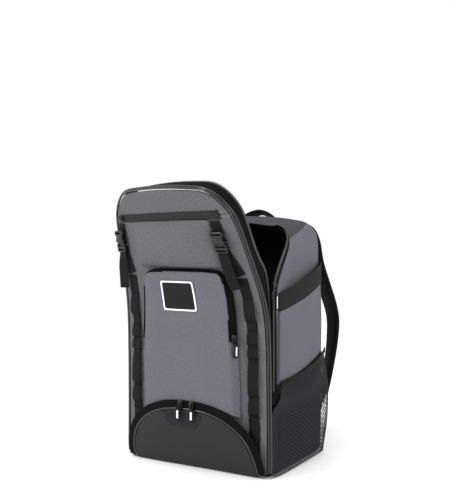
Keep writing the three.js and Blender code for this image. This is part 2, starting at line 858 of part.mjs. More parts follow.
// Moulded front pocket: its gusset climbs from the panel to a nearly flat face
const pocketAcross = [
  { share: 0, rise: 0, out: 1 },
  { share: 0.08, rise: 0.45, out: 0.96 },
  { share: 0.16, rise: 0.84, out: 0.925 },
  { share: 0.26, rise: 0.97, out: 0.87 },
  { share: 0.5, rise: 1, out: 0.6 },
  { share: 0.75, rise: 1.02, out: 0.3 },
  { share: 1, rise: 1.03, out: 0 },
];
const pocketUp = [
  { share: 0, climb: 0, rise: 1, width: 1, shift: -3, depth: 0.55 },
  { share: 0.12, climb: 0.14, rise: 1, width: 1, shift: -3, depth: 0.62 },
  { share: 0.28, climb: 0.32, rise: 1, width: 0.995, shift: -4, depth: 0.63 },
  { share: 0.44, climb: 0.5, rise: 1, width: 0.98, shift: -5, depth: 0.62 },
  { share: 0.58, climb: 0.66, rise: 1, width: 0.96, shift: -3, depth: 0.64 },
  { share: 0.72, climb: 0.8, rise: 1, width: 0.945, shift: 0, depth: 0.66 },
  { share: 0.84, climb: 0.93, rise: 1, width: 0.93, shift: 1.5, depth: 0.66 },
  { share: 0.9, climb: 0.965, rise: 0.94, width: 0.91, shift: 2, depth: 0.66 },
  { share: 0.95, climb: 0.988, rise: 0.7, width: 0.87, shift: 2, depth: 0.66 },
  { share: 1, climb: 1, rise: 0, width: 0.83, shift: 2, depth: 0.66 },
];

const cornerStart = 0.72;
const cornerSharpness = 4;

function pocketSpot(u, v) {
  const across = 1 - Math.abs(2 * v - 1);
  const width = (pocketWidth / 2) * readTable(pocketUp, u, 'width');
  const fromMiddle = Math.sign(2 * v - 1) * width * readTable(pocketAcross, across, 'out');
  const x = fromMiddle + readTable(pocketUp, u, 'shift');
  const bottom = archTop(x, tapeInside + domeTapeWidth) + 2 * seamGap;
  const corner = Math.max(0, Math.abs(fromMiddle) / width - cornerStart);
  const cornerDrop = cornerSharpness * pocketCornerRadius * corner ** 2;
  const z = mix(bottom, pocketTop - cornerDrop, readTable(pocketUp, u, 'climb'));
  return { x, z, across };
}

function pocketFace(x, z, depthShare) {
  return faceBehind(x, z) - pocketDepth * depthShare + 3 * (x / (pocketWidth / 2)) ** 2;
}

function pocketSurface(u, v) {
  const { x, z, across } = pocketSpot(u, v);
  const rise = readTable(pocketAcross, across, 'rise') * readTable(pocketUp, u, 'rise');
  const foot = faceBehind(x, z) - seamGap * 1.3;
  const face = pocketFace(x, z, readTable(pocketUp, u, 'depth'));
  return new THREE.Vector3(x, mix(foot, Math.min(face, foot), rise), z);
}

addPiece('front_pocket', liftedSheet(
  pocketUp.map((row) => row.share),
  mirrored(pocketAcross.map((row) => row.share)),
  pocketSurface,
  towardsFront,
  0,
  pocketWall,
), light);

// Badge on the pocket: a dark field in a raised frame
function pocketDepthAt(z) {
  const bottom = archTop(0, tapeInside + domeTapeWidth) + seamGap;
  const climb = (z - bottom) / (pocketTop - bottom);
  const byClimb = pocketUp.map((row) => ({ share: row.climb, depth: row.depth }));
  return readTable(byClimb, climb, 'depth');
}

function badgeSurface(halfWidth, halfHeight, lift) {
  const squareness = 0.12;
  return (u, v) => {
    const angle = v * Math.PI * 2;
    const along = Math.sign(Math.cos(angle)) * Math.abs(Math.cos(angle)) ** squareness;
    const up = Math.sign(Math.sin(angle)) * Math.abs(Math.sin(angle)) ** squareness;
    const x = patchOffset + halfWidth(u) * along;
    const z = patchLevel + halfHeight(u) * up;
    return new THREE.Vector3(x, pocketFace(x, z, pocketDepthAt(z)) - lift, z);
  };
}

const badgeLift = pocketWall + seamGap + 0.8;
const badgeColumns = evenShares(24).slice(0, -1);
const fieldMargin = patchBorder + seamGap;
const fieldWidth = (u) => u * (patchWidth / 2 - fieldMargin);
const fieldHeight = (u) => u * (patchHeight / 2 - fieldMargin);
addPiece('badge_field', sheet(
  [0, 1],
  badgeColumns,
  badgeSurface(fieldWidth, fieldHeight, badgeLift + patchThickness),
  badgeSurface(fieldWidth, fieldHeight, badgeLift),
  true,
), coated);
const frameWidth = (u) => patchWidth / 2 - u * patchBorder;
const frameHeight = (u) => patchHeight / 2 - u * patchBorder;
addPiece('badge_frame', sheet(
  [0, 1],
  badgeColumns,
  badgeSurface(frameWidth, frameHeight, badgeLift + patchThickness * 1.3),
  badgeSurface(frameWidth, frameHeight, badgeLift),
  true,
), white);

// Zip in the pocket's gusset, which ends in a slider on each side
const zipRows = [0.5, 0.58, 0.72, 0.8];
const zipColumns = [0.925, 0.96, 0.985];
for (const [word, side] of [['right', 1], ['left', -1]]) {
  const onSide = (v) => (side > 0 ? v : 1 - v);
  const gusset = (u, v) => pocketSurface(u, onSide(v));
  const zipFace = (lift) => (u, v) => lifted(pocketSurface, towardsFront, lift)(u, onSide(v));
  addPiece(`pocket_zip_${word}`, sheet(
    zipRows,
    zipColumns,
    zipFace(pocketWall + seamGap + tapeThickness),
    zipFace(pocketWall + seamGap),
  ), coated);
  const above = gusset(0.52, 0.96);
  const below = gusset(0.48, 0.96);
  const edge = gusset(0.5, 0.95).sub(gusset(0.5, 0.98));
  const face = edge.cross(above.clone().sub(below)).multiplyScalar(side).normalize();
  if (face.y > 0) face.negate();
  const spot = gusset(0.47, 0.955).addScaledVector(face, pocketWall + seamGap);
  zipSet(`pocket_${word}`, spot, face, above.sub(below).normalize(), pocketPullLength);
}

// Flat webbing that follows points, with its face turned along the normals
function webbingAlong(points, normals, width, thickness) {
  const count = points.length - 1;
  const acrossAt = (i) => {
    const along = points[Math.min(count, i + 1)].clone().sub(points[Math.max(0, i - 1)]);
    return along.cross(normals[i]).normalize();
  };
  const surface = (lift) => (u, v) => {
    const i = Math.round(u * count);
    const spot = points[i].clone().addScaledVector(acrossAt(i), (v - 0.5) * width);
    return spot.addScaledVector(normals[i], lift);
  };
  return sheet(evenShares(count), [0, 1], surface(thickness), surface(0));
}

function frontWebbing(name, spots) {
  const points = spots.map((spot) => frontPoint(spot.x, spot.z, spot.lift));
  const normals = spots.map((spot) => frontNormal(spot.x, spot.z));
  addPiece(name, webbingAlong(points, normals, webbingWidth, webbingThickness), webbing);
}

// Bar-tacked webbing down both edges of the front: the loops stand up between the tacks
const tackTable = [
  { share: 0, rise: 0 },
  { share: 0.1, rise: 0 },
  { share: 0.215, rise: 0 },
  { share: 0.245, rise: 0 },
  { share: 0.3, rise: 0.8 },
  { share: 0.35, rise: 0 },
  { share: 0.45, rise: 1 },
  { share: 0.557, rise: 0 },
  { share: 0.595, rise: 0.7 },
  { share: 0.63, rise: 0 },
  { share: 0.67, rise: 0.7 },
  { share: 0.71, rise: 0 },
  { share: 0.76, rise: 0 },
  { share: 0.825, rise: 1 },
  { share: 0.89, rise: 0 },
  { share: 1, rise: 0 },
];
for (const [word, side] of [['right', 1], ['left', -1]]) {
  const surface = (lift) => (u, v) => {
    const x = side * (chainOffset + (v - 0.5) * (webbingWidth - 1));
    return frontPoint(x, mix(chainFoot, chainTop, u), lift(u));
  };
  addPiece(`daisy_chain_${word}`, sheet(
    tackTable.map((row) => row.share),
    [0, 1],
    surface((u) => seamGap + webbingThickness * 1.6 + chainLoopRise * readTable(tackTable, u, 'rise')),
    surface(() => seamGap),
  ), webbing);
}

// Side-release buckle: a socket with side windows, and a plug with a ladder for the webbing
const socketLength = buckleLength * 0.55;
const plugLength = buckleLength - socketLength - seamGap;

function socketShape() {
  const bevel = buckleThickness * 0.14;
  const plate = solidOf(roundedPlate(buckleWidth, socketLength, 4, buckleThickness, bevel));
  const slotLevel = socketLength / 2 - slotHeight * 1.4;
  const slot = box(webbingWidth, slotHeight, buckleThickness * 2, 0, slotLevel, 0);
  const windowX = buckleWidth / 2;
  const cut = [1, -1].map((side) => (
    box(windowDepth * 2, socketLength * 0.42, buckleThickness * 2, side * windowX, -socketLength * 0.08, 0)
  ));
  return geometryOf(plate.subtract(slot).subtract(cut[0]).subtract(cut[1]));
}

function plugShape() {
  const plate = solidOf(roundedPlate(buckleWidth * 0.94, plugLength, 3, buckleThickness * 0.72, 1));
  const slots = [0.22, -0.22].map((share) => (
    box(webbingWidth, slotHeight, buckleThickness * 2, 0, plugLength * share, 0)
  ));
  return geometryOf(plate.subtract(slots[0]).subtract(slots[1]));
}

const buckleLift = 2.6 * seamGap + webbingThickness + buckleThickness / 2;
const tailRightTable = { sway: 0.13, drop: 0.93, back: 0.38 };
const tailLeftTable = { sway: 0.015, drop: 0.99, back: 0.06 };
const strapSides = [
  { word: 'right', x: buckleOffsetRight, shift: -1, chain: chainOffset, ...tailRightTable },
  { word: 'left', x: buckleOffsetLeft, shift: 2, chain: -chainOffset, ...tailLeftTable },
];
for (const row of strapSides) {
  const upper = flapLevel - flapHeight / 2 - seamGap;
  const middle = buckleTop - socketLength / 2;
  const plugMiddle = buckleTop - socketLength - seamGap - plugLength / 2;
  const foot = buckleTop - buckleLength - 2 * seamGap;
  const spot = frontPoint(row.x, mix(middle, plugMiddle, 0.5), buckleLift);
  const face = frontNormal(row.x, mix(middle, plugMiddle, 0.5));
  const up = upwards.clone().addScaledVector(face, -upwards.dot(face)).normalize();
  const socketPoint = spot.clone().addScaledVector(up, (plugLength + seamGap) / 2);
  const plugPoint = spot.clone().addScaledVector(up, -(socketLength + seamGap) / 2);
  seat(addPiece(`buckle_socket_${row.word}`, socketShape(), moulded), socketPoint, face, up);
  seat(addPiece(`buckle_plug_${row.word}`, plugShape(), moulded), plugPoint, face, up);
  frontWebbing(`upper_strap_${row.word}`, [
    { x: row.x + row.shift, z: upper - 2, lift: seamGap },
    { x: row.x, z: buckleTop - socketLength * 0.2, lift: 1.7 * seamGap },
  ]);
  frontWebbing(`anchor_strap_${row.word}`, [
    { x: row.x, z: plugMiddle, lift: seamGap },
    { x: row.x, z: foot, lift: seamGap },
    { x: mix(row.x, row.chain, 0.6), z: mix(foot, chainTop, 0.5), lift: seamGap },
    { x: row.chain, z: chainTop + 5, lift: seamGap },
  ]);
  const tailStart = plugPoint.clone().addScaledVector(up, -plugLength / 2 - seamGap);
  const tailHem = tailStart.clone().addScaledVector(up, -tailHemLength);
  const freeLength = tailLength - tailHemLength;
  const tailPoints = [tailStart, ...evenShares(3).map((share) => tailHem.clone().add(new THREE.Vector3(
    tailLength * row.sway * share,
    tailLength * row.back * share ** 1.3,
    -freeLength * row.drop * share,
  )))];
  const hanging = new THREE.Vector3(0, -1, 0.1).normalize();
  const tailNormals = [face, face, hanging, hanging, hanging];
  const tail = webbingAlong(tailPoints, tailNormals, webbingWidth, webbingThickness);
  addPiece(`tail_strap_${row.word}`, tail, webbing);
}

// Side sleeve: a wall that stands off the body, with an elastic band at its mouth
function sideOfBody(y) {
  const past = Math.max(0, y - (backPlane - backEdgeRadius));
  const kept = Math.sqrt(Math.max(0, backEdgeRadius ** 2 - past ** 2));
  return half - backEdgeRadius + kept;
}

const sleeveColumns = [0, 0.08, 0.2, 0.36, 0.52, 0.68, 0.82, 0.93, 1];

function sleeveSwell(y, z) {
  const along = THREE.MathUtils.clamp((y - sleeveFront) / (sleeveBack - sleeveFront), 0, 1);
  const up = smooth(z / (sleeveBulge * 4.6));
  return sleeveBulge * Math.sin(Math.PI * along) ** 0.7 * up;
}

function sleeveMouth(v) {
  return mix(sleeveMouthFront, sleeveMouthBack, v);
}

function sleeveSurface(side, low, high, lift) {
  return (u, v) => {
    const y = mix(sleeveFront, sleeveBack, v);
    const z = mix(low(v), high(v), u);
    return new THREE.Vector3(side * (sideOfBody(y) + seamGap + sleeveSwell(y, z) + lift), y, z);
  };
}

// Mesh pocket over the sleeve's lower part: it stands out most at the back
const meshAlong = [
  { share: 0, along: 0, out: 0 },
  { share: 0.12, along: 0.12, out: 0.2 },
  { share: 0.3, along: 0.31, out: 0.5 },
  { share: 0.5, along: 0.53, out: 0.75 },
  { share: 0.7, along: 0.75, out: 0.95 },
  { share: 0.85, along: 0.9, out: 1 },
  { share: 0.94, along: 0.985, out: 0.8 },
  { share: 1, along: 1, out: -0.6 },
];
const meshUp = [
  { share: 0, swell: 0.1 },
  { share: 0.12, swell: 0.45 },
  { share: 0.28, swell: 0.85 },
  { share: 0.5, swell: 1.05 },
  { share: 0.7, swell: 1 },
  { share: 0.85, swell: 0.6 },
  { share: 1, swell: 0.2 },
];
const meshFront = sleeveFront - 1.5;
const meshFoot = frontPlane + 6;

function meshTop(v) {
  return mix(meshTopFront, meshTopBack, v ** 1.1);
}

// Low down the net reaches forward under the zip's end patch, to the front panel's edge.
function meshStart(z) {
  return mix(meshFoot, meshFront, smooth((z - zipEndHeight) / zipEndLength + 1));
}

function meshSurface(side, low, high, lift) {
  return (u, v) => {
    const z = mix(low(v), high(v), u);
    const y = mix(meshStart(z), backPlane + seamGap, readTable(meshAlong, v, 'along'));
    const out = readTable(meshAlong, v, 'out');
    const swell = meshBulge * out * readTable(meshUp, z / meshTop(v), 'swell');
    const covered = smooth((y - meshFoot) / (meshFront - meshFoot));
    const cover = mix(1.5 * seamGap, seamGap + clothWall + meshGap, covered);
    const overSleeve = sideOfBody(y) + cover + sleeveSwell(y, z);
    const x = v === 1 ? half - backEdgeRadius * 0.6 : Math.max(overSleeve, half + swell);
    const backward = smooth((v - 0.82) / 0.18);
    return new THREE.Vector3(side * (x + lift), y + lift * backward, z);
  };
}

for (const [word, side] of [['right', 1], ['left', -1]]) {
  const low = () => sleeveFoot;
  const bandLow = (v) => sleeveMouth(v) - mix(bandFrontWidth, bandBackWidth, v);
  const high = (v) => bandLow(v) - seamGap;
  addPiece(`side_sleeve_${word}`, sheet(
    [0, 0.08, 0.2, 0.45, 0.7, 0.9, 1],
    sleeveColumns,
    sleeveSurface(side, low, high, clothWall),
    sleeveSurface(side, low, high, 0),
  ), light);
  addPiece(`sleeve_band_${word}`, sheet(
    [0, 1],
    sleeveColumns,
    sleeveSurface(side, bandLow, sleeveMouth, bandThickness),
    sleeveSurface(side, bandLow, sleeveMouth, 0),
  ), webbing);
  const floor = () => meshFloor;
  addPiece(`mesh_pocket_${word}`, sheet(
    [0, 0.12, 0.28, 0.5, 0.67, 0.74, 0.81, 0.88, 1],
    meshAlong.map((row) => row.share),
    meshSurface(side, floor, meshTop, meshWall),
    meshSurface(side, floor, meshTop, 0),
  ), netting);
  const bindingLow = (v) => meshTop(v) + seamGap;
  const bindingHigh = (v) => meshTop(v) + seamGap + bindingWidth;
  addPiece(`mesh_binding_${word}`, sheet(
    [0, 1],
    meshAlong.map((row) => row.share).slice(0, -1),
    (u, v) => meshSurface(side, bindingLow, bindingHigh, meshWall * 1.6)(u, v),
    (u, v) => meshSurface(side, bindingLow, bindingHigh, 0)(u, v),
  ), webbing);
}

// Back pad and shoulder straps, which hang in a wide loop behind the bag
const padHalfWidth = bodyWidth * 0.33;
const padLow = bodyHeight * 0.12;
const padHigh = bodyHeight * 0.84;
const padAcross = [
  { share: 0, out: 1, rise: 0.1 },
  { share: 0.2, out: 0.93, rise: 0.8 },
  { share: 0.5, out: 0.7, rise: 1 },
  { share: 0.8, out: 0.25, rise: 0.9 },
  { share: 1, out: 0, rise: 0.5 },
];
const padUp = [
  { share: 0, rise: 0.1, width: 0.9 },
  { share: 0.04, rise: 0.8, width: 0.98 },
  { share: 0.2, rise: 1, width: 1 },
  { share: 0.5, rise: 1, width: 0.94 },
  { share: 0.8, rise: 1, width: 0.9 },
  { share: 0.96, rise: 0.8, width: 0.84 },
  { share: 1, rise: 0.1, width: 0.74 },
];

function padSurface(filled) {
  return (u, v) => {
    const across = 1 - Math.abs(2 * v - 1);
    const width = padHalfWidth * readTable(padUp, u, 'width');
    const x = Math.sign(2 * v - 1) * width * readTable(padAcross, across, 'out');
    const rise = readTable(padUp, u, 'rise') * readTable(padAcross, across, 'rise');
    const lift = seamGap + (filled ? 1 + padThickness * rise : 0);
    return new THREE.Vector3(x, backPlane + lift, mix(padLow, padHigh, u));
  };
}

addPiece('back_pad', sheet(
  padUp.map((row) => row.share),
  mirrored(padAcross.map((row) => row.share)),
  padSurface(true),
  padSurface(false),
), netting);

// Middle line of a shoulder strap: sideways and backwards as shares of its spread and reach
const strapTable = [
  { side: 0.5, out: 0.08, height: 0.86, turn: 0 },
  { side: 0.55, out: 0.095, height: 0.915, turn: 0 },
  { side: 0.7, out: 0.25, height: 0.955, turn: 14 },
  { side: 0.86, out: 0.42, height: 0.9, turn: 38 },
  { side: 0.94, out: 0.4, height: 0.8, turn: 40 },
  { side: 0.98, out: 0.64, height: 0.69, turn: 42 },
  { side: 1, out: 0.98, height: 0.55, turn: 45 },
  { side: 1, out: 1, height: 0.47, turn: 47 },
  { side: 1.01, out: 0.84, height: 0.34, turn: 54 },
  { side: 0.99, out: 0.58, height: 0.2, turn: 54 },
];
const strapRoute = new THREE.CatmullRomCurve3(strapTable.map((row) => (
  new THREE.Vector3(strapSpread * row.side, backPlane + strapReach * row.out, bodyHeight * row.height)
)));
const strapSteps = 18;
const strapEdge = [0, 0.16, 0.5, 0.84, 1];
const strapSwell = [0.3, 1, 1, 1, 0.3];

function strapTurn(u) {
  const place = u * (strapTable.length - 1);
  const row = Math.min(strapTable.length - 2, Math.floor(place));
  return THREE.MathUtils.degToRad(mix(strapTable[row].turn, strapTable[row + 1].turn, place - row));
}

function strapFrame(u) {
  const point = strapRoute.getPoint(u);
  const along = strapRoute.getTangent(u);
  const turn = strapTurn(u);
  const across = new THREE.Vector3(Math.cos(turn), -Math.sin(turn), 0);
  across.addScaledVector(along, -across.dot(along)).normalize();
  return { point, along, across, face: along.clone().cross(across).normalize() };
}

function strapSurface(side, facing) {
  return (u, v) => {
    const frame = strapFrame(u);
    const swell = strapSwell[strapEdge.indexOf(v)];
    const corner = frame.point
      .addScaledVector(frame.across, (v - 0.5) * strapWidth)
      .addScaledVector(frame.face, (facing * strapThickness * swell) / 2);
    return corner.multiply(new THREE.Vector3(side, 1, 1));
  };
}

function lockShape() {
  const plate = solidOf(roundedPlate(lockWidth, lockWidth * 0.6, 3, 5, 0.8));
  const slots = [0.17, -0.17].map((share) => box(webbingWidth, slotHeight, 12, 0, lockWidth * share, 0));
  return geometryOf(plate.subtract(slots[0]).subtract(slots[1]));
}

for (const [word, side] of [['right', 1], ['left', -1]]) {
  const flip = new THREE.Vector3(side, 1, 1);
  addPiece(`shoulder_strap_${word}`, sheet(
    evenShares(strapSteps),
    strapEdge,
    strapSurface(side, 1),
    strapSurface(side, -1),
  ), webbing);
  const end = strapFrame(1);
  const lockHalf = lockWidth * 0.3;
  const lockPoint = end.point.clone().addScaledVector(end.along, lockHalf + seamGap);
  const face = end.face.clone().multiply(flip);
  const up = end.along.clone().negate().multiply(flip);
  seat(addPiece(`ladder_lock_${word}`, lockShape(), moulded), lockPoint.clone().multiply(flip), face, up);
  const start = lockPoint.clone().addScaledVector(end.along, lockHalf + seamGap);
  const anchor = new THREE.Vector3(half * 0.74, backPlane + 2.2 * seamGap, bodyHeight * 0.07);
  const anchorFace = new THREE.Vector3(0.1, 1, 0).normalize();
  const lowerRoute = new THREE.QuadraticBezierCurve3(
    start,
    start.clone().addScaledVector(end.along, lowerStrapSag),
    anchor,
  );
  const lowerSteps = 7;
  const points = evenShares(lowerSteps).map((share) => lowerRoute.getPoint(share));
  const lowerFace = end.face.dot(anchorFace) < 0 ? end.face.clone().negate() : end.face.clone();
  const normals = points.map((point, i) => {
    const along = lowerRoute.getTangent(i / lowerSteps);
    const normal = lowerFace.clone().lerp(anchorFace, i / lowerSteps);
    return normal.addScaledVector(along, -normal.dot(along)).normalize().multiply(flip);
  });
  const placed = points.map((point) => point.multiply(flip));
  const lowerStrap = webbingAlong(placed, normals, webbingWidth * 0.9, webbingThickness);
  addPiece(`lower_strap_${word}`, lowerStrap, webbing);
}

// Carrying loop at the top of the back
const loopFoot = bodyHeight * 0.955;
const loopPoints = evenShares(8).map((share) => {
  const rise = haulLoopRise * Math.sin(Math.PI * share);
  const x = (share - 0.5) * haulLoopWidth;
  return new THREE.Vector3(x, backPlane + seamGap + rise * 0.7, loopFoot + rise);
});
const loopNormals = loopPoints.map((point, i) => {
  const rise = Math.sin(Math.PI * (i / 8));
  return new THREE.Vector3(0, 1 - 0.5 * rise, 0.8 * rise).normalize();
});
const haulLoop = webbingAlong(loopPoints, loopNormals, webbingWidth, webbingThickness * 1.5);
addPiece('haul_loop', haulLoop, webbing);

export default bag;
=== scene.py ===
import bmesh
import bpy
import math
import random
from mathutils import Matrix, Vector, noise
from mathutils.bvhtree import BVHTree


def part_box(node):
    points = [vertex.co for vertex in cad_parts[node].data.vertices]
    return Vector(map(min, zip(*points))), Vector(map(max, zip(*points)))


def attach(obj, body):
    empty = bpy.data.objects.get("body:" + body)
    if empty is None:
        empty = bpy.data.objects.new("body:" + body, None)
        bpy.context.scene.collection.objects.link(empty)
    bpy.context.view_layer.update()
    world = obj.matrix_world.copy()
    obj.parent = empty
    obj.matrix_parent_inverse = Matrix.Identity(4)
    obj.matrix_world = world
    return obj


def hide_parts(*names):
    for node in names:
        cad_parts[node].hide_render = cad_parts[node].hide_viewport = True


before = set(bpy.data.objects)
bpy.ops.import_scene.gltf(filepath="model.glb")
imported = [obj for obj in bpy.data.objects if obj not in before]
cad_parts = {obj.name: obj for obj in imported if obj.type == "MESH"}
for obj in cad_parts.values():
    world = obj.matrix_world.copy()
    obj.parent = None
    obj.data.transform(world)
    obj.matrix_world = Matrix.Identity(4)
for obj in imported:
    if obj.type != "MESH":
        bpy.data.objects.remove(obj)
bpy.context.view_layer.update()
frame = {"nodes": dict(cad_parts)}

random.seed(11)

# Camera at the photograph's angle
# A level camera stands a little right of the bag's front, low enough to see the top edge nearly
# flat. Its place was fitted to the three corners of the base that the photograph shows.
camera_data = bpy.data.cameras.new("camera")
camera_data.lens = 55.32
camera_data.sensor_width = 36
camera_data.clip_end = 60
camera = bpy.data.objects.new("camera", camera_data)
camera.location = (0.7515, -1.2759, 0.4070)
camera.rotation_euler = (math.radians(90), 0, math.radians(30.6))
bpy.context.scene.collection.objects.link(camera)
bpy.context.scene.camera = camera


# Studio: a pale floor and soft lights
# The bag stands alone on a wide pale floor under a white sky. A big softbox stands at the upper left,
# with weaker ones at the right and above, so that cord and buckles get long highlights.
def srgb(red, green, blue):
    """A colour from its screen values, 0 to 255, as Blender's linear light."""
    def linear(value):
        share = value / 255
        return share / 12.92 if share <= 0.04045 else ((share + 0.055) / 1.055) ** 2.4
    return (linear(red), linear(green), linear(blue), 1.0)


def start_finish(name, colour, roughness, **sockets):
    """A new material with its plain values set on its own shader. Returns the material and the shader."""
    material = bpy.data.materials.new(name)
    material.use_nodes = True
    shader = material.node_tree.nodes["Principled BSDF"]
    shader.inputs["Base Color"].default_value = colour
    shader.inputs["Roughness"].default_value = roughness
    for socket, value in sockets.items():
        shader.inputs[socket.replace("_", " ")].default_value = value
    return material, shader


def add_node(material, kind, inputs=None, **settings):
    """A node of the material. Its inputs are values, or outputs of other nodes."""
    tree = material.node_tree
    node = tree.nodes.new(kind)
    for key, value in settings.items():
        setattr(node, key, value)
    for key, value in (inputs or {}).items():
        if isinstance(value, bpy.types.NodeSocket):
            tree.links.new(value, node.inputs[key])
        else:
            node.inputs[key].default_value = value
    return node


def mix_colour(material, factor, first, second, blend="MIX"):
    """The colour output of a Mix node, whose inputs are values or outputs of other nodes."""
    node = add_node(material, "ShaderNodeMix", {0: factor, 6: first, 7: second},
                    data_type="RGBA", blend_type=blend)
    return node.outputs[2]


def two_tones(material, factor, colour, darker, lighter):
    """A colour output that goes from a darker to a lighter shade of the colour with the factor."""
    dark = tuple(channel * darker for channel in colour[:3]) + (1,)
    light = tuple(min(1, channel * lighter) for channel in colour[:3]) + (1,)
    return mix_colour(material, factor, dark, light)


def set_gloss(material, shader, factor, low, high):
    """Lets the shader's roughness go from low to high with the factor."""
    gloss = add_node(material, "ShaderNodeMapRange", {"Value": factor, "To Min": low, "To Max": high})
    material.node_tree.links.new(gloss.outputs["Result"], shader.inputs["Roughness"])


def set_bump(material, shader, height, strength, distance):
    """Lets the height stand up in the shading by this distance, in metres."""
    bump = add_node(material, "ShaderNodeBump", {
        "Height": height, "Strength": strength, "Distance": distance})
    material.node_tree.links.new(bump.outputs["Normal"], shader.inputs["Normal"])


def new_object(name, mesh):
    """An object at the origin, linked to the scene."""
    piece = bpy.data.objects.new(name, mesh)
    bpy.context.scene.collection.objects.link(piece)
    return piece


floor_size = 24
floor_bm = bmesh.new()
bmesh.ops.create_grid(floor_bm, x_segments=1, y_segments=1, size=floor_size)
floor_mesh = bpy.data.meshes.new("floor")
floor_bm.to_mesh(floor_mesh)
floor_bm.free()
floor = new_object("floor", floor_mesh)
floor_finish, _ = start_finish("pale_floor", (1, 1, 1, 1), 1.0, Specular_IOR_Level=0.0)
floor_mesh.materials.append(floor_finish)

world = bpy.data.worlds.new("studio")
world.use_nodes = True
world.node_tree.nodes["Background"].inputs["Color"].default_value = (1, 1, 1, 1)
world.node_tree.nodes["Background"].inputs["Strength"].default_value = 1.0
bpy.context.scene.world = world
bpy.context.scene.view_settings.view_transform = "Standard"


def softbox(name, place, target, size, power):
    """A rectangular light at a place, turned towards its target. Its power is in watts."""
    light = bpy.data.lights.new(name, "AREA")
    light.shape = "RECTANGLE"
    light.size, light.size_y = size
    light.energy = power
    box = bpy.data.objects.new(name, light)
    box.location = place
    box.rotation_euler = (Vector(target) - Vector(place)).to_track_quat("-Z", "Y").to_euler()
    bpy.context.scene.collection.objects.link(box)


softbox("left_softbox", (-1.3, -2.0, 1.7), (0, 0, 0.3), (0.6, 1.4), 40)
softbox("right_softbox", (2.3, -0.9, 1.1), (0, 0, 0.25), (0.4, 1.3), 18)
softbox("top_softbox", (0.3, -0.2, 2.4), (0, 0, 0.2), (1.4, 0.5), 12)


# Rear shell of the main compartment
# A tray of woven polyester that is open at its front. It is light purple-grey, with a darker gusset
# at the top, painted shade in the dark lining cloth behind the nets, and a lining inside.
band_spacing = 0.314


def weave_finish(name, colour, period, roughness, speckle=0.12, depth=0.0002, **sockets):
    """Woven cloth: crossed threads as bump and a mottled yarn colour, laid by the UV map in metres.

    A wave texture's bands are band_spacing apart at scale 1, so the period sets its scale.
    """
    material, shader = start_finish(name, colour, roughness, Specular_IOR_Level=0.07, **sockets)
    place = add_node(material, "ShaderNodeTexCoord")
    warp, weft = (add_node(material, "ShaderNodeTexWave", {
        "Vector": place.outputs["UV"], "Scale": band_spacing / period, "Distortion": 0.6, "Detail": 1.0,
        "Detail Scale": 0.5}, wave_type="BANDS", bands_direction=direction) for direction in ("X", "Y"))
    threads = add_node(material, "ShaderNodeMath", {0: warp.outputs["Fac"], 1: weft.outputs["Fac"]},
                       operation="ADD")
    yarn = add_node(material, "ShaderNodeTexNoise", {
        "Vector": place.outputs["UV"], "Scale": 420.0, "Detail": 4.0, "Roughness": 0.75})
    broad = add_node(material, "ShaderNodeTexNoise", {
        "Vector": place.outputs["UV"], "Scale": 9.0, "Detail": 2.0})
    mottle = add_node(material, "ShaderNodeMapRange", {
        "Value": yarn.outputs["Fac"], "From Min": 0.3, "From Max": 0.7})
    tone = two_tones(material, mottle.outputs["Result"], colour, 1 - speckle, 1 + speckle)
    shift = add_node(material, "ShaderNodeMapRange", {
        "Value": broad.outputs["Fac"], "From Min": 0.3, "From Max": 0.7, "To Min": 0.95, "To Max": 1.05})
    shaded = mix_colour(material, 1.0, tone, shift.outputs["Result"], "MULTIPLY")
    material.node_tree.links.new(shaded, shader.inputs["Base Color"])
    set_bump(material, shader, threads.outputs["Value"], 0.5, depth)
    return material


light_cloth = weave_finish("light_cloth", srgb(96, 95, 102), 0.0009, 0.85, speckle=0.3)
warm_cloth = weave_finish("warm_cloth", srgb(91, 90, 92), 0.0011, 0.88, speckle=0.5)
dark_cloth = weave_finish("dark_cloth", srgb(66, 65, 69), 0.0010, 0.85, speckle=0.2)
lining = weave_finish("lining", srgb(36, 36, 37), 0.0007, 0.8, speckle=0.1)


def merged_copy(node, quads=True):
    """The CAD node's loose triangles, joined into one skin and turned back into its rows of quads."""
    bm = bmesh.new()
    bm.from_mesh(frame["nodes"][node].data)
    bmesh.ops.remove_doubles(bm, verts=bm.verts, dist=0.00002)
    if quads:
        bmesh.ops.join_triangles(bm, faces=bm.faces, angle_face_threshold=math.radians(60),
                                 angle_shape_threshold=math.radians(180))
    return bm


def rounded(bm, levels, crease_over=50):
    """The same skin, subdivided smooth, with its rims kept sharp."""
    crease = bm.edges.layers.float.new("crease_edge")
    for edge in bm.edges:
        if len(edge.link_faces) == 2 and edge.calc_face_angle() > math.radians(crease_over):
            edge[crease] = 1.0
    mesh = bpy.data.meshes.new("rounding")
    bm.to_mesh(mesh)
    bm.free()
    shape = new_object("rounding", mesh)
    subdivide = shape.modifiers.new("rounding", "SUBSURF")
    subdivide.levels = subdivide.render_levels = levels
    finer = bpy.data.meshes.new_from_object(shape.evaluated_get(bpy.context.evaluated_depsgraph_get()))
    bpy.data.objects.remove(shape)
    smooth = bmesh.new()
    smooth.from_mesh(finer)
    bpy.data.meshes.remove(finer)
    return smooth


def lay_weave(bm):
    """Flat UV coordinates in metres for every face, seen along the axis that the face looks along."""
    layer = bm.loops.layers.uv.verify()
    for face in bm.faces:
        size = [abs(value) for value in face.normal]
        axis = size.index(max(size))
        first, second = ((1, 2), (0, 2), (0, 1))[axis]
        for loop in face.loops:
            loop[layer].uv = (loop.vert.co[first], loop.vert.co[second])


def soften(bm, height, wavelength, seed=0.0, along=None):
    """Low waves in the cloth, pushed along each point's normal or along one direction."""
    for vert in bm.verts:
        place = vert.co / wavelength + Vector((seed, seed * 1.7, 0))
        push = height * noise.noise(place)
        vert.co += (along or vert.normal) * push


sharp_over = math.radians(42)


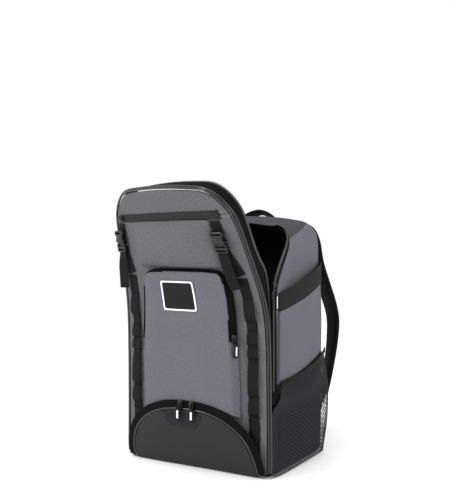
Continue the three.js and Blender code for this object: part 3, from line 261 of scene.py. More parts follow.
def finish_piece(name, bm, finishes, replaces=(), smooth=True):
    """Makes the object with its finishes, rides it on the root body and hides the nodes that it stands for.
    """
    mesh = bpy.data.meshes.new(name)
    for face in bm.faces:
        face.smooth = smooth
    bm.to_mesh(mesh)
    bm.free()
    for material in finishes:
        mesh.materials.append(material)
    piece = new_object(name, mesh)
    if smooth:
        mesh.set_sharp_from_angle(angle=sharp_over)
    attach(piece, "root")
    if replaces:
        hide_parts(*replaces)
    return piece


def paint(bm, test, index):
    """Gives a finish, by its index, to the faces for which test(face) holds."""
    for face in bm.faces:
        if test(face):
            face.material_index = index


def cut(bm, place, direction):
    """Cuts every face of the skin along a plane, and keeps both sides."""
    everything = list(bm.verts) + list(bm.edges) + list(bm.faces)
    bmesh.ops.bisect_plane(bm, geom=everything, dist=0.00001, plane_co=place, plane_no=direction)


on_plane = 0.0001


def sew_groove(bm, place, direction, width=0.0028, depth=0.0011, where=None):
    """Cuts the skin along a plane and presses it in there, as a sewn seam does."""
    place, direction = Vector(place), Vector(direction).normalized()
    for shift in (-width, 0, width):
        cut(bm, place + direction * shift, direction)
    bm.normal_update()
    on_seam = [vert for vert in bm.verts if abs((vert.co - place).dot(direction)) < on_plane
               and (where is None or where(vert))]
    for vert, normal in [(vert, vert.normal.copy()) for vert in on_seam]:
        vert.co -= normal * depth


def net_plane(word):
    """A point and the upward normal of the plane of a net's bound edge, which slants to the back."""
    low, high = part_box(f"mesh_binding_{word}")
    slope = (high.z - low.z) / (high.y - low.y)
    half_binding = 0.004
    return Vector((0, low.y, low.z + half_binding)), Vector((0, -slope, 1)).normalized()


body_low, body_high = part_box("rear_body")
body_middle = (body_low + body_high) / 2
half_width = (body_high.x - body_low.x) / 2
rear = rounded(merged_copy("rear_body"), 2)
rear.normal_update()
outside, inside, at_top = 0, 1, 2
paint(rear, lambda face: face.normal.dot(body_middle - face.calc_center_median()) > 0, inside)
gusset_seam = Vector((0, 0.0119, 0.4276))
gusset_up = Vector((0, -0.288, 1)).normalized()
sew_groove(rear, gusset_seam, gusset_up, depth=0.0013,
           where=lambda vert: (abs(vert.co.x) > half_width * 0.5
                               and vert.normal.dot(body_middle - vert.co) < 0))
dart_line, dart_foot, dart_top = -0.0166, 0.05, 0.41
sew_groove(rear, (0, dart_line, 0), (0, 1, 0), depth=0.0012,
           where=lambda vert: abs(vert.co.x) > half_width * 0.8 and dart_foot < vert.co.z < dart_top)
paint(rear, lambda face: (face.material_index == outside
                          and (face.calc_center_median() - gusset_seam).dot(gusset_up) > 0), at_top)
net_edge, net_up = net_plane("right")
cut(rear, net_edge, net_up)
# Below the net's bound edge the outer cloth takes the dark lining: painted shade behind the net.
paint(rear, lambda face: (face.material_index == outside
                          and (face.calc_center_median() - net_edge).dot(net_up) < 0), inside)
sag, sag_waves = 0.0016, 11
still_depth, ease_depth = 0.03, 0.05
for vert in rear.verts:
    inwards = Vector((-vert.co.x, 0, 0)).normalized() * min(1, abs(vert.co.x) / half_width) ** 4
    ease = min(1, max(0, (vert.co.y - body_low.y - still_depth) / ease_depth))
    vert.co += inwards * ease * sag * (noise.noise(vert.co * sag_waves) + 0.5)
lay_weave(rear)
finish_piece("rear_body_cloth", rear, [light_cloth, lining, dark_cloth], ["rear_body"])


# Base panel
# The flat bottom that the bag stands on, of coated cloth with a coarse grain over a stiff board.
def coated_finish(name, colour, roughness, grain=0.0004, scale=900.0):
    """Cloth with a rubbery coating: a fine leathery grain, with uneven gloss."""
    material, shader = start_finish(name, colour, roughness, Specular_IOR_Level=0.2)
    place = add_node(material, "ShaderNodeTexCoord")
    cells = add_node(material, "ShaderNodeTexVoronoi", {
        "Vector": place.outputs["Object"], "Scale": scale, "Randomness": 1.0})
    worn = add_node(material, "ShaderNodeTexNoise", {
        "Vector": place.outputs["Object"], "Scale": 14.0, "Detail": 4.0})
    set_gloss(material, shader, worn.outputs["Fac"], roughness - 0.08, roughness + 0.1)
    tone = two_tones(material, worn.outputs["Fac"], colour, 0.88, 1.12)
    material.node_tree.links.new(tone, shader.inputs["Base Color"])
    set_bump(material, shader, cells.outputs["Distance"], 0.35, grain)
    return material


coated_cloth = coated_finish("coated_cloth", srgb(34, 34, 34), 0.6)
base = merged_copy("base_panel", quads=False)
bmesh.ops.dissolve_limit(base, angle_limit=math.radians(1), verts=base.verts, edges=base.edges)
bmesh.ops.bevel(base, geom=base.edges, offset=0.0008, affect="EDGES", segments=2, profile=0.5,
                material=-1)
finish_piece("base_panel_cloth", base, [coated_cloth], ["base_panel"])


# Front panel
# A stiffened panel of warm grey cloth, crowned across its width. It leans out of the body above the
# sliders, is lined inside, and has a straight seam above the level zip.
front = rounded(merged_copy("front_panel"), 2)
front.normal_update()
paint(front, lambda face: face.normal.y > 0.2, inside)
front_tree = BVHTree.FromBMesh(front)
front_low, front_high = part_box("front_panel")


def on_front(x, z, lift=0.0):
    """The point and the normal of the front panel's outer face at x and z."""
    point, normal, _, _ = front_tree.ray_cast(Vector((x, -1, z)), Vector((0, 1, 0)))
    if point is None:
        point, normal, _, _ = front_tree.find_nearest(Vector((x, front_low.y, z)))
    return point + normal * lift, normal


seam_level = front_high.z - 0.0465
ripple, ripple_waves = 0.0012, 13
for vert in front.verts:
    across = vert.co.x / front_high.x
    calm = 1 - across ** 4
    wave = noise.noise(vert.co * ripple_waves + Vector((3, 0, 0)))
    vert.co.y += ripple * calm * wave
sew_groove(front, (0, 0, seam_level), (0, 0, 1), width=0.002, where=lambda vert: vert.normal.y < 0)
lay_weave(front)
finish_piece("front_panel_cloth", front, [warm_cloth, lining], ["front_panel"])


# Main zip
# A coarse black coil zip on wide tape: closed from its round end patches up to the sliders, and open
# above them, where one half rides on the front panel's edge and the other on the body's mouth.
def sections_of(node, start, corners):
    """The cross-sections of a CAD strip or tube, as lists of points, from the end named by start."""
    bm = merged_copy(node, quads=False)
    start = Vector(start)
    ring = sorted(bm.verts, key=lambda vert: -vert.co.dot(start))[:corners]
    seen = set(ring)
    rings = []
    while ring:
        rings.append([vert.co.copy() for vert in ring])
        ring = {edge.other_vert(vert) for vert in ring for edge in vert.link_edges} - seen
        seen |= ring
    bm.free()
    return rings


def frames_of(node, start, facing):
    """Middle, across, outward and size of each section of a CAD strip. Facing starts the outward side."""
    frames = []
    outward_before = Vector(facing)
    across_before = None
    for ring in sections_of(node, start, 4):
        first = ring[0]
        near, beside, _ = sorted(ring[1:], key=lambda point: (point - first).length)
        middle = sum(ring, Vector()) / 4
        across = beside - first
        outward = near - first
        width, thickness = across.length, outward.length
        across.normalize()
        outward = (outward - across * outward.dot(across)).normalized()
        if outward.dot(outward_before) < 0:
            outward.negate()
        if across_before and across.dot(across_before) < 0:
            across.negate()
        outward_before, across_before = outward, across
        frames.append((middle, across, outward, width, thickness))
    return frames


def spline(values, steps):
    """Points of a Catmull-Rom line through the values, with this many steps between each two."""
    line = []
    last = len(values) - 1
    for i in range(last):
        before, a, b, after = values[max(i - 1, 0)], values[i], values[i + 1], values[min(i + 2, last)]
        for step in range(steps):
            t = step / steps
            line.append(0.5 * (2 * a + t * (b - before) + t * t * (2 * before - 5 * a + 4 * b - after)
                               + t ** 3 * (3 * a - 3 * b + after - before)))
    line.append(values[-1])
    return line


def finer(frames, steps):
    """The same frames with a smooth line of more of them between each two."""
    columns = list(zip(*frames))
    middles, across, outward, width, thickness = (spline(list(column), steps) for column in columns)
    return [(m, a.normalized(), o.normalized(), w, t)
            for m, a, o, w, t in zip(middles, across, outward, width, thickness)]


def loft(rings, capped=True):
    """A skin through closed rings of points, extruded from the first ring, with UV in metres."""
    count = len(rings[0])
    bm = bmesh.new()
    layer = bm.loops.layers.uv.verify()
    edges = bmesh.ops.create_circle(bm, segments=count, radius=1.0)["verts"]
    for vert, point in zip(edges, rings[0]):
        vert.co = point
    around = [0.0]
    for i in range(count):
        around.append(around[-1] + (rings[0][(i + 1) % count] - rings[0][i]).length)
    place = {vert: (i, 0) for i, vert in enumerate(edges)}
    row = list(edges)
    along = [0.0]
    for number, ring in enumerate(rings[1:], 1):
        loop = [bm.edges.get((row[i], row[(i + 1) % count])) for i in range(count)]
        made = bmesh.ops.extrude_edge_only(bm, edges=loop)["geom"]
        new_row = [None] * count
        for vert in made:
            if isinstance(vert, bmesh.types.BMVert):
                for old in [edge.other_vert(vert) for edge in vert.link_edges]:
                    if old in place:
                        new_row[place[old][0]] = vert
        for i, vert in enumerate(new_row):
            vert.co = ring[i]
            place[vert] = (i, number)
        steps = [(ring[i] - rings[number - 1][i]).length for i in range(count)]
        along.append(along[-1] + sum(steps) / count)
        row = new_row
    for face in bm.faces:
        columns = [place[loop.vert][0] for loop in face.loops]
        wraps = max(columns) - min(columns) > 1
        for loop in face.loops:
            column, number = place[loop.vert]
            if wraps and column == 0:
                column = count
            loop[layer].uv = (around[column], along[number])
    if capped:
        bmesh.ops.holes_fill(bm, edges=bm.edges, sides=count)
    bmesh.ops.recalc_face_normals(bm, faces=bm.faces)
    return bm


def flat_profile(width, thickness, edge=4):
    """Points of a flat strip's section with round edges: across from -1 to 1, and up, in metres."""
    points = []
    radius = thickness / 2
    for side in (1, -1):
        for share in (-0.5, 0, 0.5) if side > 0 else (0.5, 0, -0.5):
            points.append((share * (width - thickness), side * radius))
        for step in range(1, edge):
            angle = math.pi / 2 - math.pi * step / edge
            points.append((side * ((width - thickness) / 2 + radius * math.cos(angle)),
                           side * radius * math.sin(angle)))
    return points


def strip(frames, width=None, thickness=None, shift=0.0):
    """A flat strip with round edges along the frames, by its own size or by the CAD's."""
    rings = []
    for middle, across, outward, cad_width, cad_thickness in frames:
        own_width = width or cad_width
        own_thickness = thickness or cad_thickness
        rings.append([middle + across * x + outward * (y + shift)
                      for x, y in flat_profile(own_width, own_thickness)])
    return loft(rings)


def join(target, other):
    """Adds another bmesh to the target one and frees it."""
    mesh = bpy.data.meshes.new("joining")
    other.to_mesh(mesh)
    other.free()
    target.from_mesh(mesh)
    bpy.data.meshes.remove(mesh)


def evenly(frames, pitch):
    """Frames at an even pitch along the line of frames."""
    result = []
    travelled, due = 0.0, pitch / 2
    for a, b in zip(frames, frames[1:]):
        length = (b[0] - a[0]).length
        while due <= travelled + length and length > 0:
            share = (due - travelled) / length
            result.append((a[0].lerp(b[0], share), a[1].lerp(b[1], share).normalized(),
                           a[2].lerp(b[2], share).normalized(), (b[0] - a[0]).normalized()))
            due += pitch
        travelled += length
    return result


def turned_to(direction):
    """The matrix that turns +Z to the direction."""
    return direction.to_track_quat("Z", "Y").to_matrix().to_4x4()


def add_teeth(bm, frames, tilt=0.5):
    """One half of a zip coil: a row of short round bars across the tape's edge."""
    for middle, across, outward, along in evenly(frames, coil_pitch):
        direction = (across + along * tilt).normalized()
        place = Matrix.Translation(middle + across * coil_reach / 2) @ turned_to(direction)
        bmesh.ops.create_cone(bm, cap_ends=True, segments=6, radius1=coil_radius,
                              radius2=coil_radius * 0.8, depth=coil_reach, matrix=place)


def moulded_finish(name, colour, roughness, grain=0.00006, **sockets):
    """Moulded plastic or painted metal: fine pits, and gloss that wanders a little."""
    material, shader = start_finish(name, colour, roughness, **sockets)
    place = add_node(material, "ShaderNodeTexCoord")
    pits = add_node(material, "ShaderNodeTexNoise", {
        "Vector": place.outputs["Object"], "Scale": 1800.0, "Detail": 2.0})
    worn = add_node(material, "ShaderNodeTexNoise", {
        "Vector": place.outputs["Object"], "Scale": 60.0, "Detail": 3.0})
    set_gloss(material, shader, worn.outputs["Fac"], max(roughness - 0.08, 0.05), roughness + 0.1)
    tone = two_tones(material, worn.outputs["Fac"], colour, 0.8, 1.2)
    material.node_tree.links.new(tone, shader.inputs["Base Color"])
    set_bump(material, shader, pits.outputs["Fac"], 0.3, grain)
    return material


tape_cloth = weave_finish("tape_cloth", srgb(12, 12, 12), 0.0012, 0.85, speckle=0.4, depth=0.0003)
# The coil is a lighter grey than the black tape: painted highlight on its ridges.
coil_painted_highlight = moulded_finish("coil_painted_highlight", srgb(52, 52, 53), 0.34, Specular_IOR_Level=0.5)
black_moulded = moulded_finish("black_moulded", srgb(12, 12, 12), 0.36, Specular_IOR_Level=0.35)
slider_metal = moulded_finish("slider_metal", srgb(10, 10, 11), 0.3, Specular_IOR_Level=0.5)
cord_rubber = moulded_finish("pull_rubber", srgb(12, 12, 12), 0.5, Specular_IOR_Level=0.2)
reflective_bar = moulded_finish("reflective_bar", srgb(226, 226, 228), 0.4)

coil_pitch = 0.0034
coil_reach = 0.0068
coil_radius = 0.0011
coil_past_edge = 0.0012
front_tape = finer(frames_of("front_zip_tape", (1, 0, -10), (1, 0, 0)), 6)
rear_tape = finer(frames_of("rear_zip_tape", (1, 0, -10), (1, 0, 0)), 6)


def toward(frames, reference):
    """Turns each frame's across so that it points from the sewn edge to the edge with the coil."""
    turned = []
    sign = 1 if frames[len(frames) // 2][1].dot(reference) > 0 else -1
    for middle, across, outward, width, thickness in frames:
        turned.append((middle, across * sign, outward, width, thickness))
    return turned


front_tape = toward(front_tape, Vector((0, 1, 0)))
rear_tape = toward(rear_tape, Vector((0, -1, 0)))


def tape_edge(frames, inset=0.0):
    """The line of the tape's free edge, a little proud of its outer face."""
    return [(middle + across * (width / 2 - inset) + outward * (thickness / 2 + coil_radius * 0.4),
             across, outward, width, thickness)
            for middle, across, outward, width, thickness in frames]


for name, frames in (("front_zip", front_tape), ("rear_zip", rear_tape)):
    finish_piece(f"{name}_tape", strip(frames), [tape_cloth], [f"{name}_tape"])
    coil = bmesh.new()
    add_teeth(coil, tape_edge(frames, coil_reach - coil_past_edge))
    finish_piece(f"{name}_coil", coil, [coil_painted_highlight], smooth=False)


# Round end patches, sliders and pulls of the main zip
# Each slider is a painted metal body with a waist and a bridge. A cord loop holds a flat rubber pull
# with a pale reflective bar. The zip ends low down under a round sewn patch.
def plate_axes(node, up_hint, facing):
    """Middle, across, up, outward and half sizes of a flat CAD plate, from its widest faces."""
    bm = merged_copy(node, quads=False)
    areas = {}
    for face in bm.faces:
        key = tuple(round(abs(value), 1) for value in face.normal)
        total, normal = areas.get(key, (0.0, face.normal.copy()))
        areas[key] = (total + face.calc_area(), normal)
    outward = max(areas.values(), key=lambda entry: entry[0])[1].normalized()
    if outward.dot(Vector(facing)) < 0:
        outward.negate()
    points = [vert.co.copy() for vert in bm.verts]
    bm.free()
    up = Vector(up_hint)
    up = (up - outward * up.dot(outward)).normalized()
    across = up.cross(outward)
    spans = []
    for axis in (across, up, outward):
        values = [point.dot(axis) for point in points]
        spans.append((min(values), max(values)))
    middle = Vector()
    for axis, (low, high) in zip((across, up, outward), spans):
        middle += axis * (low + high) / 2
    return middle, across, up, outward, [(high - low) / 2 for low, high in spans]


def placed(bm, middle, across, up, outward):
    """Moves a piece that was drawn flat, across +X, up +Y and outward +Z, to its place on the bag."""
    turn = Matrix((across, up, outward)).transposed().to_4x4()
    bmesh.ops.transform(bm, matrix=Matrix.Translation(middle) @ turn, verts=bm.verts)
    return bm


def box_edges(bm, size, centre=(0, 0, 0)):
    """Adds a plain box to the bmesh and returns its edges."""
    place = Matrix.Translation(centre) @ Matrix.Diagonal((*size, 1))
    made = bmesh.ops.create_cube(bm, size=1.0, matrix=place)
    return list({edge for vert in made["verts"] for edge in vert.link_edges})


def block(bm, size, centre, bevel, segments=2):
    """A box with round edges, added to the bmesh."""
    bmesh.ops.bevel(bm, geom=box_edges(bm, size, centre), offset=bevel, affect="EDGES",
                    segments=segments, profile=0.5, material=-1)


def draw_slider(width, length, thickness):
    """A slider drawn flat: a waisted plate, and a bridge on two posts over it."""
    bm = bmesh.new()
    edges = box_edges(bm, (width, length, thickness * 0.5))
    lengthwise = [edge for edge in edges if abs(edge.verts[0].co.y - edge.verts[1].co.y) > length / 2]
    bmesh.ops.subdivide_edges(bm, edges=lengthwise, cuts=3, use_grid_fill=True)
    for vert in bm.verts:
        share = vert.co.y / length
        waist = 1 - 0.24 * math.cos(math.pi * min(1, abs(share) * 2.6)) ** 2 * (share < 0.3)
        vert.co.x *= waist * (0.86 if share < -0.4 else 1)
    bmesh.ops.bevel(bm, geom=[edge for edge in bm.edges if edge.calc_face_angle(0) > 0.6], offset=0.0006,
                    affect="EDGES", segments=2, profile=0.5, material=-1)
    bridge_width, bridge = width * 0.34, length * 0.62
    top = thickness * 0.62
    post_place = bridge / 2 - length * 0.05
    soft_edge = 0.0004
    block(bm, (bridge_width, bridge, thickness * 0.17), (0, 0, top), soft_edge)
    for end in (1, -1):
        block(bm, (bridge_width, length * 0.12, thickness * 0.5), (0, end * post_place, top * 0.6), soft_edge)
    return bm


def round_cord(points, radius, sides=8):
    """A round cord through points, as a closed skin."""
    rings = []
    side = None
    for i, point in enumerate(points):
        along = (points[min(i + 1, len(points) - 1)] - points[max(i - 1, 0)]).normalized()
        side = along.orthogonal() if side is None else side - along * side.dot(along)
        side.normalize()
        other = along.cross(side)
        angles = [2 * math.pi * k / sides for k in range(sides)]
        rings.append([point + (side * math.cos(angle) + other * math.sin(angle)) * radius
                      for angle in angles])
    return loft(rings)


def draw_pull(half_across, half_up, half_thick):
    """A cord loop, a flat rubber tab under it, and the pale bar in the tab's face as finish 1."""
    bm = bmesh.new()
    tab_top = half_up * 0.34
    tab_middle = (tab_top - half_up) / 2
    block(bm, (half_across * 1.7, tab_top + half_up, half_thick * 1.7), (0, tab_middle, 0), half_thick * 0.7)
    block(bm, (half_across * 1.1, half_up * 0.2, half_thick * 2.0), (0, tab_top, 0), half_thick * 0.7)
    half_loop = half_across * 0.34
    arc_level = half_up * 0.96 - half_across * 0.4
    loop = [Vector((half_loop * math.cos(angle), arc_level + half_loop * math.sin(angle), 0))
            for angle in (0, 0.6, 1.2, math.pi / 2, 1.94, 2.54, math.pi)]
    loop = [Vector((half_loop, tab_top, 0))] + loop + [Vector((-half_loop, tab_top, 0))]
    join(bm, round_cord(loop, half_thick * 0.7, 6))
    for face in bm.faces:
        face.material_index = 0
    before = set(bm.faces)
    bar_size = (half_across * 0.62, half_up * 0.95, half_thick * 0.6)
    block(bm, bar_size, (half_across * 0.1, tab_middle, half_thick * 0.8), 0.0002, 1)
    for face in set(bm.faces) - before:
        face.material_index = 1
    return bm


def add_slider(word, up_hint, facing):
    """The slider of one zip, at the place of its CAD node."""
    middle, across, up, outward, size = plate_axes(f"{word}_slider", up_hint, facing)
    plate_middle = middle - outward * size[2] * 0.45
    slider = placed(draw_slider(size[0] * 2, size[1] * 2, size[2] * 2), plate_middle, across, up, outward)
    finish_piece(f"{word}_slider_body", slider, [slider_metal], [f"{word}_slider"])


def zip_hardware(word, up_hint, facing):
    """The slider and the pull of one zip, at the places of their CAD nodes."""
    add_slider(word, up_hint, facing)
    middle, across, up, outward, size = plate_axes(f"{word}_pull", up_hint, facing)
    pull = placed(draw_pull(*size), middle, across, up, outward)
    finish_piece(f"{word}_pull_tab", pull, [cord_rubber, reflective_bar], [f"{word}_pull"])


def round_edges(node, bevel, segments=2):
    """A copy of a hard CAD node with its edges rounded."""
    bm = merged_copy(node, quads=False)
    bmesh.ops.dissolve_limit(bm, angle_limit=math.radians(2), verts=bm.verts, edges=bm.edges)
    sharp = [edge for edge in bm.edges if edge.calc_face_angle(0) > math.radians(25)]
    bmesh.ops.bevel(bm, geom=sharp, offset=bevel, affect="EDGES", segments=segments, profile=0.5, material=-1,
                    clamp_overlap=True)
    return bm


for word, side in (("right", 1), ("left", -1)):
    zip_hardware(f"main_{word}", (0, 0, 1), (side, 0, 0))
    patch = round_edges(f"zip_end_{word}", 0.0004)
    lay_weave(patch)
    finish_piece(f"zip_end_patch_{word}", patch, [tape_cloth], [f"zip_end_{word}"])


# Glossy piping round the front panel
# Two slim plastic cords lie side by side in the seam between the panel and the zip tape, from one
# foot over the top to the other. Their long highlights draw the panel's outline.
piping_gloss = moulded_finish("piping_gloss", srgb(8, 8, 8), 0.22, Specular_IOR_Level=0.6)


def middle_line(node, start, corners, steps):
    """The smooth middle line of a CAD tube, whose first section has corners points."""
    rings = sections_of(node, start, corners)
    return spline([sum(ring, Vector()) / len(ring) for ring in rings if len(ring) > 1], steps)


def beside(line, amount, forward):
    """The line moved outwards, away from the panel's middle, and forwards."""
    moved = []
    for i, point in enumerate(line):
        along = (line[min(i + 1, len(line) - 1)] - line[max(i - 1, 0)]).normalized()
        out = along.cross(Vector((0, -1, 0))).normalized()
        if out.dot(point - Vector((0, point.y, front_high.z * 0.6))) < 0:
            out.negate()
        moved.append(point + out * amount + Vector((0, -forward, 0)))
    return moved


piping_line = middle_line("main_piping", (1, 0, -10), 7, 5)
piping_radius = 0.0020
piping = bmesh.new()
for outwards, forwards in ((0.0002, 0.0010), (0.0032, -0.0016)):
    join(piping, round_cord(beside(piping_line, outwards, forwards), piping_radius, 10))
finish_piece("main_piping_cords", piping, [piping_gloss], ["main_piping"])


# Level zip under the top edge
# A strip of coated tape covers a level zip, whose slider waits at the left end. Above it, stitches run
# along both sides of the panel's straight seam.
def add_stitches(bm, line, tree, length=0.0028, gap=0.0016, radius=0.00045, lift=0.0004):
    """Short round stitches along a line of points, laid on the front side of the tree's skin."""
    travelled, due = 0.0, 0.0
    facing = Vector((0, -1, 0))
    for a, b in zip(line, line[1:]):
        span = (b - a).length
        while due <= travelled + span and span > 0:
            spot = a.lerp(b, (due - travelled) / span)
            near, normal, _, _ = tree.find_nearest(spot)
            if normal.dot(facing) < 0:
                normal = facing
            direction = (b - a).normalized()
            direction = (direction - normal * direction.dot(normal)).normalized()
            place = Matrix.Translation(near + normal * lift) @ turned_to(direction)
            bmesh.ops.create_cone(bm, cap_ends=True, segments=5, radius1=radius, radius2=radius,
                                  depth=length, matrix=place)
            due += length + gap
        travelled += span


grey_thread = moulded_finish("grey_thread", srgb(150, 148, 150), 0.7, Specular_IOR_Level=0.15)
black_thread = moulded_finish("black_thread", srgb(12, 12, 12), 0.6, Specular_IOR_Level=0.2)
flap = rounded(merged_copy("top_zip_flap"), 1)
flap_coating = coated_finish("flap_coating", srgb(24, 24, 24), 0.6, grain=0.0002, scale=1200.0)
finish_piece("top_zip_flap_cloth", flap, [flap_coating], ["top_zip_flap"])
seam_threads = bmesh.new()
row_offset = 0.0032
row_reach = front_high.x * 0.93
row_steps = 30
for level in (seam_level + row_offset, seam_level - row_offset):
    row = [on_front(row_reach * (i / row_steps - 1), level)[0] for i in range(2 * row_steps + 1)]
    add_stitches(seam_threads, row, front_tree)
finish_piece("panel_seam_threads", seam_threads, [grey_thread], smooth=False)
add_slider("top", (-1, 0, 0), (0, -1, 0))


# Padded panel between the level zip and the front pocket
# Foam-backed warm cloth that swells forward towards its lower edge, so that it shades the pocket.
upper = rounded(merged_copy("upper_panel"), 3, crease_over=70)
upper_low, upper_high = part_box("upper_panel")
upper_middle = (upper_low + upper_high) / 2
crown_height = 0.004
for vert in upper.verts:
    across = (vert.co.x - upper_middle.x) / (upper_high.x - upper_low.x) * 2
    up = (vert.co.z - upper_low.z) / (upper_high.z - upper_low.z)
    crown = max(0, 1 - across ** 4) * max(0, 1 - (2 * up - 1) ** 4)
    if vert.normal.y < 0:
        vert.co.y -= crown_height * crown
soften(upper, 0.0016, 0.06, 2.0, Vector((0, -1, 0)))
lay_weave(upper)
upper_panel = finish_piece("upper_panel_padding", upper, [warm_cloth], ["upper_panel"])


# Moulded front pocket
# A pocket pressed from foam and light cloth: its gusset climbs from the panel to a nearly flat face
# with round upper corners. The gusset is black above the sliders, partly as the zip's tape and partly as
# painted shade under the padded panel's overhang, and the inside is lined.
pocket = rounded(merged_copy("front_pocket"), 2, crease_over=75)
pocket.normal_update()
paint(pocket, lambda face: face.normal.y > 0.3, inside)
slider_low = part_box("pocket_right_slider")[0].z
gusset_depth = 0.016


def in_gusset(face):
    """Whether a face of the pocket lies in its gusset, above the sliders' lower ends."""
    centre = face.calc_center_median()
    if face.normal.y > 0.3 or centre.z < slider_low:
        return False
    skin, _ = on_front(min(max(centre.x, -0.12), 0.12), min(centre.z, front_high.z - 0.02))
    return skin.y - centre.y < gusset_depth and face.normal.y > -0.8


# Gusset faces above the sliders take the black tape cloth: partly the zip's tape round the pocket's top,
# partly painted shade under the padded panel's overhang.
gusset_tape_and_shade = 2
paint(pocket, in_gusset, gusset_tape_and_shade)
soften(pocket, 0.0012, 0.06, 5.0, Vector((0, -1, 0)))
lay_weave(pocket)
finish_piece("front_pocket_cloth", pocket, [light_cloth, lining, tape_cloth], ["front_pocket"])


# Badge on the pocket
# A soft rubber badge: a bare black field with a fine grain inside a raised white frame.
badge_rubber = coated_finish("badge_rubber", srgb(9, 9, 9), 0.6, grain=0.0002, scale=1400.0)
badge_white = moulded_finish("badge_white", srgb(232, 232, 234), 0.45, Specular_IOR_Level=0.3)
field = merged_copy("badge_field")
finish_piece("badge_field_rubber", field, [badge_rubber], ["badge_field"])
badge = round_edges("badge_frame", 0.0005)
finish_piece("badge_frame_rubber", badge, [badge_white], ["badge_frame"])


# Zips in the pocket's gusset
# Strips of black tape down both sides of the pocket, each ending in a slider with its pull.
for word, side in (("right", 1), ("left", -1)):
    strip_copy = rounded(merged_copy(f"pocket_zip_{word}"), 1)
    lay_weave(strip_copy)
    finish_piece(f"pocket_zip_tape_{word}", strip_copy, [tape_cloth], [f"pocket_zip_{word}"])
    zip_hardware(f"pocket_{word}", (0, 0, 1), (side, -0.6, 0))


# Dome pocket at the floor
# A pocket of coated cloth, domed over the foot of the front. A cord and the tape of a zip with two
# sliders run round its arch, and a net vent is let into its face.
dome = rounded(merged_copy("lower_pocket"), 2, crease_over=70)
dome.normal_update()
paint(dome, lambda face: face.normal.y > 0.3, inside)
soften(dome, 0.0012, 0.07, 9.0, Vector((0, -1, 0)))
lay_weave(dome)
dome_finish = coated_finish("dome_coating", srgb(36, 36, 36), 0.6, grain=0.0003, scale=700.0)
finish_piece("lower_pocket_cloth", dome, [dome_finish, lining], ["lower_pocket"])
arch_line = middle_line("lower_piping", (1, 0, -10), 6, 4)
arch_radius = 0.0021
finish_piece("lower_piping_cord", round_cord(arch_line, arch_radius, 10), [piping_gloss],
             ["lower_piping"])
arch_tape = rounded(merged_copy("lower_zip_tape"), 1)
lay_weave(arch_tape)
finish_piece("lower_zip_tape_cloth", arch_tape, [tape_cloth], ["lower_zip_tape"])
for word in ("right", "left"):
    zip_hardware(f"lower_{word}", (0, 0, 1), (0, -1, 0))


def net_of(skin, levels, strand):
    """A knitted net over an open skin of quads: diamonds between its rows, then round strands."""
    if levels:
        skin = rounded(skin, levels, crease_over=179)
    old = list(skin.edges)
    bmesh.ops.poke(skin, faces=skin.faces)
    inner = [edge for edge in old if edge.is_valid and len(edge.link_faces) == 2]
    bmesh.ops.dissolve_edges(skin, edges=inner, use_verts=False)
    bmesh.ops.wireframe(skin, faces=skin.faces, thickness=strand, offset=0.0, use_replace=True,
                        use_boundary=True, use_even_offset=True)
    return skin


def outer_skin(node, test):
    """Only those quads of a CAD sheet for which test(face) holds."""
    bm = merged_copy(node)
    bm.normal_update()
    bmesh.ops.delete(bm, geom=[face for face in bm.faces if not test(face)], context="FACES")
    return bm


net_yarn = moulded_finish("net_yarn", srgb(50, 50, 53), 0.7, Specular_IOR_Level=0.15)
vent_back = merged_copy("vent_patch")
finish_piece("vent_patch_backing", vent_back, [lining], ["vent_patch"])
vent_net = net_of(outer_skin("vent_patch", lambda face: face.normal.y < -0.9), 3, 0.0006)
bmesh.ops.translate(vent_net, verts=vent_net.verts, vec=(0, -0.0004, 0))
finish_piece("vent_patch_net", vent_net, [net_yarn], smooth=False)


# Bar-tacked webbing down the front
# Each edge of the front has a strip of ribbed webbing, tacked down at intervals so that loops stand
# up between the tacks. Each tack is a dense zigzag of thread.
rib_pitch, cord_pitch = 0.0014, 0.0022


def webbing_finish(name, colour, roughness=0.7):
    """Ribbed polyester webbing, laid by UV: across the strip on U and along it on V, in metres."""
    material, shader = start_finish(name, colour, roughness, Specular_IOR_Level=0.1)
    place = add_node(material, "ShaderNodeTexCoord")
    ribs = add_node(material, "ShaderNodeTexWave", {
        "Vector": place.outputs["UV"], "Scale": band_spacing / rib_pitch, "Distortion": 0.4, "Detail": 1.0},
        wave_type="BANDS", bands_direction="Y")
    cords = add_node(material, "ShaderNodeTexWave", {
        "Vector": place.outputs["UV"], "Scale": band_spacing / cord_pitch},
        wave_type="BANDS", bands_direction="X")
    fuzz = add_node(material, "ShaderNodeTexNoise", {
        "Vector": place.outputs["UV"], "Scale": 900.0, "Detail": 2.0})
    height = add_node(material, "ShaderNodeMath", {0: ribs.outputs["Fac"], 1: cords.outputs["Fac"]},
                      operation="ADD")
    tone = two_tones(material, fuzz.outputs["Fac"], colour, 0.75, 1.35)
    material.node_tree.links.new(tone, shader.inputs["Base Color"])
    set_bump(material, shader, height.outputs["Value"], 0.6, 0.0003)
    return material


webbing_cloth = webbing_finish("webbing_cloth", srgb(21, 21, 21))
webbing_thickness = 0.0016


def add_tack(bm, middle, across, along, outward, width, stitches=15):
    """A bar tack: a zigzag of thread across the webbing."""
    step = width / stitches
    for i in range(stitches):
        offset = (i + 0.5 - stitches / 2) * step
        lean = 0.9 if i % 2 else -0.9
        direction = (across * step * 1.3 + along * 0.0017 * lean).normalized()
        spot = middle + across * offset + outward * 0.0002
        bmesh.ops.create_cone(bm, cap_ends=True, segments=5, radius1=0.0004, radius2=0.0004, depth=0.0024,
                              matrix=Matrix.Translation(spot) @ turned_to(direction))


